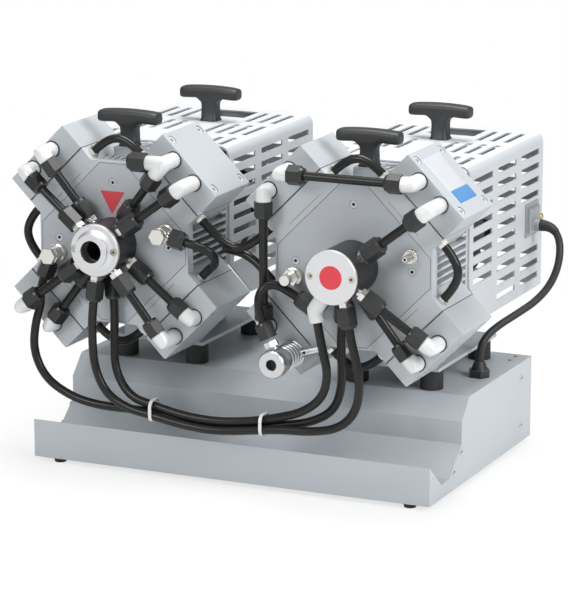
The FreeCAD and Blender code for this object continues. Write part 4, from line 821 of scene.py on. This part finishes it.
# How far past the foot of its nut a tube starts, the nipples' height off the hub, and the tubes' radius.
NUT_OVER, NIPPLE = 3.1, 8.5
TUBE_RADIUS = 5.0
SHORT_HOSES = {
    "transfer_hose": [
        (-47.1, -128.0, 304.6), (-16.1, -128.0, 273.6), (16.1, -128.0, 273.6), (47.1, -128.0, 304.6)],
    "vent_hose": [
        (47.1, -123.0, 233.2), (33.1, -123.0, 247.2), (18.1, -120.0, 259.2), (-0.9, -118.0, 267.2),
        (-21.9, -116.0, 268.2)],
    "return_hose": [
        (-65.3, -158.0, 283.9), (-38.9, -158.0, 278.5), (-21.0, -151.0, 270.9), (-20.0, -140.0, 255.9),
        (-34.1, -128.0, 246.2), (-47.1, -128.0, 233.2)],
    "outlet_hose": [
        (102.0, -156.0, 222.6), (81.3, -156.0, 234.6), (64.0, -171.0, 247.9), (51.0, -178.0, 238.9),
        (49.9, -180.0, 216.4), (61.8, -180.0, 189.0)],
}


def link_spans(unit):
    """Start and end of each straight tube, from inside one nut to inside the other."""
    spans = []
    for start, corner, stand, branch in link_ends(unit):
        heading = unit_vector(corner - start)
        spans.append([start + heading * (NIPPLE + NUT_OVER), corner - heading * (branch + NUT_OVER)])
    if unit == "right":
        for first, second in CROSSINGS:
            a, b = port(*first), port(*second)
            heading = unit_vector(b - a)
            spans.append([a + heading * (BRANCH + NUT_OVER), b - heading * (BRANCH + NUT_OVER)])
    return spans


def hoop_points(turn):
    """Four points of a hoop: out of one pad, over the gap, into the next pad."""
    a = spoke(45 + turn, HOOP_RADIUS, HOOP_Y, HOOP_SIDE)
    b = spoke(135 + turn, HOOP_RADIUS, HOOP_Y, -HOOP_SIDE)
    # Three equal runs, the outer two at 45 degrees to the line from a to b.
    run = np.linalg.norm(a - b) / (1 + math.sqrt(2))
    return [a, a + spoke(45 + turn, 0, 0, run), b + spoke(135 + turn, 0, 0, -run), b]


for unit in AXIS:
    lines = link_spans(unit) + [hoop_points(turn) for turn in HOOPS[unit]]
    grids = [tube_grid(line, TUBE_RADIUS) / 1000 + np.array(axis_of(unit)) for line in lines]
    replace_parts(build_piece(unit + "_tubes", grids, "hose_black"), unit + "_link_tubes")
for node, line in SHORT_HOSES.items():
    grid = tube_grid(line, TUBE_RADIUS) / 1000
    piece = build_piece(node + "_line", [grid], "hose_black")
    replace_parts(piece, node)
    print(node, len(piece.data.vertices), "vertices")

# %% [markdown]
# ## Outlet body
# The outlet body is turned from aluminium bar: a flange on the head, four cooling ribs, a barrel and
# a thick rim with the bore. What a lathe makes is best given as a lathe sees it, so its profile is a
# table of distance and radius carried round the axis. A neck with six flats goes up into the nut of
# the hose, and a drilled bar leaves the side. Black discs are painted shade: they stand for the shade
# inside the bar's cross hole, a little proud of it, and inside the rim's bore, deep in it.
# %% Outlet body
RIB_STARTS = (6.6, 13.4, 20.2, 27.0)
CORE, RIB = 11.0, 14.7
FORWARD = (0, -1, 0)
body_at = np.array(OUTLET_AT)
profile = [(-0.5, 3.0), (-0.5, 14.6), (0, 15.6), (3.2, 15.6), (3.6, 15.0), (4.0, CORE)]
for start in RIB_STARTS:
    rib = [(0, CORE), (0.3, 14.2), (0.6, RIB), (2.7, RIB), (3.0, 14.2), (3.3, CORE)]
    profile += [(start + along, radius) for along, radius in rib]
profile += [(33.6, 11.6), (34.0, 14.4), (41.8, 14.4), (42.4, 12.2), (45.0, 12.2), (45.4, 15.4), (46.0, 16.2),
            (57.6, 16.2), (58.8, 15.8), (60.0, 14.6), (60.0, 7.0), (59.4, 6.2), (40.0, 6.2), (39.9, 2.0)]
body = turned_grid(body_at, FORWARD, profile, 64)
nut_foot = np.array([0.0631, -0.180, 0.1862])
neck_at = body_at + np.array([0, -0.037, 0])
neck_way = unit_vector(nut_foot - neck_at)
neck = turned_grid(neck_at, neck_way, [(10, 5.0), (10, 5.5), (20, 5.5), (20, 5.0)], 24)
hexagon = [(17.0, 4.0), (17.0, 8.0), (17.6, 8.6), (24.2, 8.6), (24.8, 8.0), (24.8, 4)]
flats = turned_grid(neck_at, neck_way, hexagon, 6)
bar_way = unit_vector((0.956, 0.0, 0.292))
bar_at = body_at + np.array([0, -0.010, 0])
bar_profile = [(11, 2.0), (11, 3.4), (16, 3.4), (16.2, 4.8), (17.0, 5.6), (26.0, 5.6), (26.4, 5.1),
               (27.0, 5.1), (27.4, 5.6), (44, 5.6), (45, 4.8), (45, 2)]
bar = turned_grid(bar_at, bar_way, bar_profile, 32)
piece = build_piece("outlet_body", [body, neck, flats, bar], "outlet_metal")
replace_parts(piece, "outlet_fittings")
print("outlet body", len(profile), "profile points")

# %% Outlet bores and elbow
# The black discs are painted shade inside the cross hole and the bore.
cross_hole = [(5.3, 0.5), (5.3, 1.9), (5.68, 1.9), (5.72, 1.7), (5.72, 0.3)]
drill = turned_grid(bar_at + bar_way * 0.0215, FORWARD, cross_hole, 20)
dark = turned_grid(body_at, FORWARD, [(46, 0.5), (46, 6.15), (50, 6.15), (50, 0.5)], 40)
build_piece("outlet_bore_shade", [drill, dark], "rubber")
OUTLET_SPOKE, OUTLET_LEVEL = -126.5, -13.0
outward = spoke(OUTLET_SPOKE, 1)
turned_to = unit_vector((-0.865, 0, 0.5))
hub_at = np.array(axis_of("right")) * 1000
hub_seat = hub_at + spoke(OUTLET_SPOKE, HUB_RADIUS + NIPPLE, OUTLET_LEVEL)
corner = hub_at + spoke(OUTLET_SPOKE, HUB_RADIUS + 34.5, OUTLET_LEVEL)
elbow = tube_grid([hub_seat, corner - outward * 8, corner, corner + turned_to * 8], 7.2) / 1000
piece = build_piece("outlet_elbow", [elbow], "black_plastic")
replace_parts(piece, "outlet_fittings")
print("outlet elbow", len(piece.data.vertices), "vertices")

# %% [markdown]
# ## T handles
# Each unit is lifted by two moulded T handles. Two rounded boxes would look machined. The bar is a
# row of superellipse sections, which have flat faces and round corners in one formula, and its
# lower half drops into a bell over the stem, so bar and stem read as one moulding.
# %% Handles


def superellipse(columns, power):
    """Two waves c and s with |c|^power + |s|^power = 1: cosine and sine to the power 2 / power."""
    turn = round_the_line(columns)
    return [np.sign(wave) * np.abs(wave) ** (2 / power) for wave in (np.cos(turn), np.sin(turn))]


def bar_grid(place, rows=61, columns=48):
    """Superellipse sections along X, shrunk towards the ends by (1 - |u|^9)^(1/9), u from -1 to 1.

    The half below the middle is deeper by drop * exp(-(x / spread)^4), the bell over the stem.
    """
    half, deep, high, drop, spread = 38.0, 11.0, 7.4, 9.0, 12.5
    middle, arch = 33.0, 2.2
    u = np.sin(np.linspace(-math.pi / 2, math.pi / 2, rows))
    x = u * half
    shrink = np.maximum(1 - np.abs(u) ** 9, 1e-6) ** (1 / 9)
    bell = drop * np.exp(-(x / spread) ** 4)
    c, s = superellipse(columns, 3.2)
    height = np.where(s[None] > 0, high, high + bell[:, None])
    z = middle + arch * np.cos(u * 1.4)[:, None] + height * shrink[:, None] * s[None]
    y = deep * shrink[:, None] * c[None]
    grid = np.stack([np.broadcast_to(x[:, None], z.shape), y, z], -1)
    return grid / 1000 + np.array(place)


def stem_grid(place, columns=48):
    """Superellipse sections along Z: about 10 mm each way, wider at the foot and at the top."""
    z = np.array([0.3, 0.3, 1.2, 3.0, 18.0, 22.0, 26.0, 30.0, 31.0])
    wide = np.array([6.0, 11.6, 11.6, 10.4, 9.8, 10.4, 12.6, 17.0, 9.0])
    deep = np.array([6.0, 11.2, 11.2, 10.2, 9.8, 9.9, 10.2, 10.4, 6.0])
    c, s = superellipse(columns, 4)
    level = np.broadcast_to(z[:, None], (len(z), columns))
    grid = np.stack([wide[:, None] * c, deep[:, None] * s, level], -1)
    return grid / 1000 + np.array(place)


for unit in AXIS:
    feet = [axis_of(unit, 0, 45.0, 106.0), axis_of(unit, 0, 259.9, 100.6)]
    grids = [grid for foot in feet for grid in (bar_grid(foot), stem_grid(foot))]
    piece = build_piece(unit + "_handle_mouldings", grids, "handle_plastic", crease=50)
    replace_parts(piece, unit + "_carry_handles")
    print(piece.name, len(piece.data.vertices), "vertices")

# %% [markdown]
# ## Films on the metal
# Three flat films mark the machine: a triangle on the left cover, a round one on the right hub's
# disc and a pale one with a coloured field on a head. They are blank. A film could be painted by a
# mask in the finish below it, but a real one has an edge that catches light. So each is a rounded
# outline scaled from the middle to the edge and lifted by the film's thickness, with a tiny slope
# at its rim.
# %% Films


def rounded_outline(corners, radius, steps=7):
    """An outline whose corners are arcs: centre + radius * (cos, sin) swept over each corner's turn."""
    corners = np.array(corners, float)
    before = corners - np.roll(corners, 1, 0)
    after = np.roll(corners, -1, 0) - corners
    heading = np.arctan2(before[:, 1], before[:, 0])
    turn = (np.arctan2(after[:, 1], after[:, 0]) - heading + math.pi) % (2 * math.pi) - math.pi
    t = np.linspace(0, 1, steps)
    angle = heading[:, None] - math.pi / 2 + turn[:, None] * t
    back = before / np.linalg.norm(before, axis=1)[:, None]
    inner = corners - radius * np.tan(turn / 2)[:, None] * back
    left = np.stack([-np.sin(heading), np.cos(heading)], -1)
    centre = inner + radius * left
    arc = centre[:, None] + radius * np.stack([np.cos(angle), np.sin(angle)], -1)
    return arc.reshape(-1, 2)


def film_grid(outline, place, across, up, thick=0.25):
    """Rows of the outline scaled about its middle: out to the edge below, back in at the top."""
    middle = outline.mean(0)
    rows = [(0.5, 0.0), (1.0, 0.0), (1.0, thick * 0.6), (0.993, thick), (0.5, thick)]
    out = np.cross(across, up)
    flat = np.array([middle + (outline - middle) * share for share, lift in rows])
    lifts = np.array([lift for share, lift in rows])[:, None, None]
    points = flat[..., :1] * np.array(across) + flat[..., 1:] * np.array(up) + lifts * out
    return points / 1000 + np.array(place)


def film(name, tone, rough):
    """Printed film: a soft sheen, a little unevenness where the glue under it is not flat."""
    recipe = FinishRecipe(name, IOR=1.5, Coat_Weight=0.4, Coat_Roughness=0.15)
    haze = recipe.noise(0.006, 3.0)
    recipe.drive("Base Color", recipe.blend(haze, tone, shade(tone, 1.12, 0.01)))
    recipe.drive("Roughness", rough + haze * 0.08)
    recipe.drive("Normal", recipe.bump(recipe.noise(0.003), 0.00003, 0.4))
    return recipe.owner


FINISH["red_film"] = film("red_film", colour(205, 40, 58), 0.34)
FINISH["pale_film"] = film("pale_film", colour(187, 190, 194), 0.36)
FINISH["blue_film"] = film("blue_film", colour(74, 130, 184), 0.34)
print("films", [name for name in FINISH if "film" in name])

# %% Films in place
RIGHTWARD, BACKWARD, UPWARD = np.eye(3)
DISC_FILM, DISC_FACE = 13.4, -63.5
triangle = rounded_outline([(-1.3, 33.2), (15.4, 60.2), (-16.2, 60.2)], 1.0)
cover_film = film_grid(triangle, axis_of("left"), RIGHTWARD, UPWARD)
build_piece("cover_film", [cover_film], "red_film")
turn = round_the_line(48)
circle = DISC_FILM * np.stack([np.cos(turn), np.sin(turn)], -1)
disc_film = film_grid(circle, axis_of("right", y=DISC_FACE), RIGHTWARD, UPWARD)
build_piece("disc_film", [disc_film], "red_film")
# The films on the upper right head lie on its outer face, 139 mm from the shaft.
outward = unit_vector((1, 0, 1))
uphill = unit_vector((-1, 0, 1))
face = np.array(axis_of("right")) + outward * 0.139
sheet = rounded_outline([(18, -31), (72, -31), (72, 35), (18, 35)], 2.0)
head_film = film_grid(sheet, face, BACKWARD, uphill, 0.2)
build_piece("head_film", [head_film], "pale_film")
field = rounded_outline([(20, -29.5), (70, -29.5), (70, -12), (20, -12)], 0.8)
head_field = film_grid(field, face + outward * 0.0002, BACKWARD, uphill, 0.1)
build_piece("head_film_field", [head_field], "blue_film")
print("films on cover, disc and head")

# %% [markdown]
# ## Joint lines
# A fine black line shows where each head meets its pad: the rubber rim of the diaphragm between
# them. Round each cover plate a black strip is painted shade: it stands for the shade in the gap
# there. A groove cut in the solids would need far more faces than a thin closed strip seated in the
# joint. A strip between the points a and b of a unit's face has its corners at a or b, plus or minus
# half its width across.
# %% Rims and seams
# The pads' distance from the shaft, half a head's width, and how far back a rim goes.
PAD_FACE, HEAD_HALF, RIM_BACK = 104.7, 47.5, 90.1
# A cover plate's distance from the shaft on its four straight sides and on its four slanted ones.
COVER_HALF, COVER_LONG = 92.5, 77.2
RIM_WIDTH, SEAM_WIDTH, PROUD = 0.8, 0.5, 0.1


def strip_grid(unit, a, b, width, front, back):
    """A straight strip between two points (x, z) of a unit's face, from front to back along Y."""
    a, b = np.array(a, float), np.array(b, float)
    run_x, run_z = unit_vector(b - a)
    across = np.array([-run_z, run_x]) * width / 2
    rows = []
    for end in (a, b):
        corners = ((1, front), (-1, front), (-1, back), (1, back))
        flat = [(*(end + side * across), y) for side, y in corners]
        rows.append([axis_of(unit, x, y, z) for x, z, y in flat])
    return np.array(rows)


def rim(unit, turn):
    """The diaphragm's rim between a head and its pad, a little proud of both sides."""
    turn = math.radians(turn)
    out = np.array([math.cos(turn), math.sin(turn)])
    side = np.array([-out[1], out[0]]) * (HEAD_HALF + PROUD)
    middle = out * PAD_FACE
    return strip_grid(unit, middle - side, middle + side, RIM_WIDTH, 0.3, RIM_BACK)


def cover_seam(unit):
    """Eight strips round the cover plate, whose corners are at (half, short) and (short, half)."""
    half, short = COVER_HALF, COVER_LONG * math.sqrt(2) - COVER_HALF
    corners = [(half, -short), (half, short), (short, half), (-short, half),
               (-half, short), (-half, -short), (-short, -half), (short, -half)]
    return [strip_grid(unit, corners[k - 1], corners[k], SEAM_WIDTH, -0.02, 1.0) for k in range(8)]


rims = [rim(unit, turn) for unit in AXIS for turn in HEAD_TURN.values()]
build_piece("diaphragm_rims", rims, "rubber")
# The black strips round the covers are painted shade in the gap there.
seams = [strip for unit in AXIS for strip in cover_seam(unit)]
build_piece("cover_gap_shade", seams, "rubber")
print("rims and seams", len(rims), len(seams))

# %% [markdown]
# ## Earth screws and plugs
# Each guard has an earth screw near its rear edge: a brass pan head on a washer. Two black plugs
# close holes near the tray's rear right corner. All are so small that a turned profile of a few
# rows is enough, with no drive cut in.
# %% Earth screws and plugs
GUARD_SIDE, EARTH_BACK = 98.9, 338.0
TRAY_TOP = 0.1044
pan = [(0, 2.0), (0, 5.2), (0.6, 5.2), (0.7, 3.9), (1.4, 3.9), (2.0, 3.4), (2.4, 2.4), (2.5, 1.0)]
heads = [turned_grid(axis_of(unit, GUARD_SIDE, EARTH_BACK), (1, 0, 0), pan, 24) for unit in AXIS]
build_piece("earth_screws", heads, "brass")
plug = [(-0.6, 0.5), (-0.6, 2.1), (0.2, 2.1), (0.4, 1.7), (0.4, 0.5)]
plugs = [turned_grid((0.2336, y, TRAY_TOP), (0, 0, 1), plug, 20) for y in (0.137, 0.157)]
build_piece("tray_plugs", plugs, "rubber")
print("earth screws", len(heads), "plugs", len(plugs))

# %% [markdown]
# ## Sleeve on the motor lead
# Where the lead leaves its connector a tapered sleeve keeps it from kinking. A straight cone would
# part from the bending lead, so the sleeve follows the lead's own line, read from the NURBS curve,
# with rings that shrink from the boss to the sheath.
# %% Sleeve


def line_points(piece):
    """The smooth line of a curve object: its mesh when it has no round section."""
    curve = piece.data.copy()
    curve.bevel_depth = 0.0
    bare = bpy.data.objects.new("bare_line", curve)
    bpy.context.scene.collection.objects.link(bare)
    graph = bpy.context.evaluated_depsgraph_get()
    mesh = bpy.data.meshes.new_from_object(bare.evaluated_get(graph))
    places = np.zeros(len(mesh.vertices) * 3)
    mesh.vertices.foreach_get("co", places)
    bpy.data.objects.remove(bare)
    bpy.data.curves.remove(curve)
    return places.reshape(-1, 3)


def sleeve_grid(points, length, first, last, rows=14):
    """Rings square to the line; the radius falls evenly from first to last, with shallow ribs.

    Every second ring stands out by rib, less and less towards the end.
    """
    steps = np.r_[0, np.cumsum(np.linalg.norm(np.diff(points, axis=0), axis=1))]
    at = np.linspace(0, length, rows)
    centres = np.stack([np.interp(at, steps, points[:, k]) for k in range(3)], -1)
    tangent = headings(centres)
    outs = np.cross(tangent, BACK)
    outs /= np.linalg.norm(outs, axis=1)[:, None]
    sides = np.cross(tangent, outs)
    t = np.linspace(0, 1, rows)
    rib = 0.0003
    radii = first + (last - first) * t + rib * (np.arange(rows) % 2) * (1 - t)
    return ring_grid(centres, outs, sides, radii, 28)


SLEEVE_LENGTH, SLEEVE_FOOT, SLEEVE_TIP = 0.022, 0.0070, 0.0049
lead_line = line_points(cords["motor_cable"])
sleeve_rings = sleeve_grid(lead_line, SLEEVE_LENGTH, SLEEVE_FOOT, SLEEVE_TIP)
sleeve = build_piece("lead_sleeve", [sleeve_rings], "rubber", crease=60)
print("sleeve", SLEEVE_LENGTH, "m on a line of", len(lead_line), "points")

# Each cord leaves one fitting and goes back into another, so its far end is on the machine itself, and
# it is stiff enough to keep the bow in which it hangs. The loop reads where each one starts. %% Cord starts
for node, piece in cords.items():
    start = tuple(v / 1000 for v in ROUTES[node][0])
print("cords declared", len(cords))

# %% [markdown]
# ## Stage and light
# The photograph is a cut-out on white with soft light from above and from the right: tops are pale,
# fronts a third darker. A single sun would give hard shadows. Three broad lamps, overhead, at the
# right and in front, and an even sky give soft ones. The floor and the sky ask what kind of ray
# meets them. For the camera the sky and the far floor are white, and near the machine the floor
# keeps a faint shadow. Shiny pieces see a bright patch above and one in front.
# %% Floor
FLOOR_REACH = 6.0


def floor_finish():
    """Pale floor: matt near the machine, plain white light away from it."""
    recipe = Recipe(bpy.data.materials.new("floor_white"))
    recipe.tree.nodes.clear()
    far = recipe.vector("LENGTH", (recipe.place(),), "Value").over(0.25, 1.1)
    camera_ray = recipe.ray("Camera")
    mirror_ray = recipe.ray("Glossy") + recipe.ray("Transmission")
    share = camera_ray * (0.72 + far * 0.28) + mirror_ray * 0.40
    tone = recipe.blend(camera_ray, (0.78, 0.78, 0.78, 1.0), (0.86, 0.86, 0.86, 1.0))
    matt = recipe.make("ShaderNodeBsdfDiffuse", {}, {"Color": tone})
    glow = recipe.make("ShaderNodeEmission", {}, {"Color": (1.0, 1.0, 1.0, 1.0), "Strength": 1.0})
    mixed = recipe.make("ShaderNodeMixShader", {}, (share, matt, glow))
    surface = recipe.tree.nodes.new("ShaderNodeOutputMaterial")
    recipe.tree.links.new(mixed.socket, surface.inputs["Surface"])
    return recipe.owner


floor_mesh = bpy.data.meshes.new("floor")
corners = np.array([[-1, -1, 0], [1, -1, 0], [1, 1, 0], [-1, 1, 0]]) * FLOOR_REACH
floor_mesh.from_pydata(corners.tolist(), [], [[0, 1, 2, 3]])
floor = bpy.data.objects.new("floor", floor_mesh)
bpy.context.scene.collection.objects.link(floor)
floor.data.materials.append(floor_finish())
print("floor", 2 * FLOOR_REACH, "m wide")

# %% Sky
SOFTBOX = (0.30, -0.93, 0.20)


def studio_sky():
    """White for the camera, a low even light for the machine, and bright patches to mirror."""
    sky = Recipe(bpy.data.worlds.new("studio"))
    camera_ray = sky.ray("Camera")
    mirror_ray = sky.ray("Glossy") + sky.ray("Transmission")
    heading = sky.make("ShaderNodeTexCoord", {}, (), "Generated")
    height = sky.part(heading, 2)
    front = sky.vector("DOT_PRODUCT", (heading, SOFTBOX), "Value")
    mirrored = 0.30 + height.over(0.55, 0.85) * 0.50 + front.over(0.80, 0.97) * 0.60
    ambient = 0.12 + height.over(-0.2, 1.0) * 0.40
    strength = (1.0 - camera_ray) * ((1.0 - mirror_ray) * ambient + mirror_ray * mirrored) + camera_ray
    backdrop = sky.tree.nodes["Background"]
    backdrop.inputs["Color"].default_value = (1.0, 1.0, 1.0, 1.0)
    sky.tree.links.new(strength.socket, backdrop.inputs["Strength"])
    return sky.owner


bpy.context.scene.world = studio_sky()
print("sky, with a bright patch towards", SOFTBOX)

# %% Lamps
LAMP_SIZE = 1.2
AIM = (0.0, 0.0, 0.2)
LAMPS = {
    "lamp_above": ((0.0, 0.3, 2.5), 47.0),
    "lamp_right": ((2.2, -0.6, 1.55), 45.0),
    "lamp_front": ((-0.9, -2.7, 1.7), 33.0),
}


def lamp(name, place, power):
    """A square soft lamp that faces the machine: a tilt from straight down, then a turn about Z."""
    data = bpy.data.lights.new(name, "AREA")
    data.shape = "SQUARE"
    data.size = LAMP_SIZE
    data.energy = power
    holder = bpy.data.objects.new(name, data)
    holder.location = place
    direction = np.array(AIM) - np.array(place)
    yaw = math.atan2(direction[1], direction[0]) - math.pi / 2
    tilt = math.acos(-direction[2] / np.linalg.norm(direction))
    holder.rotation_euler = (tilt, 0.0, yaw)
    bpy.context.scene.collection.objects.link(holder)


for name, (place, power) in LAMPS.items():
    lamp(name, place, power)
bpy.context.scene.view_settings.view_transform = "Standard"
print("lamps", sorted(LAMPS))

# %% [markdown]
# ## Last update
# The depsgraph is brought up to date, so that it holds the finished pieces.
# %% Update
bpy.context.view_layer.update()
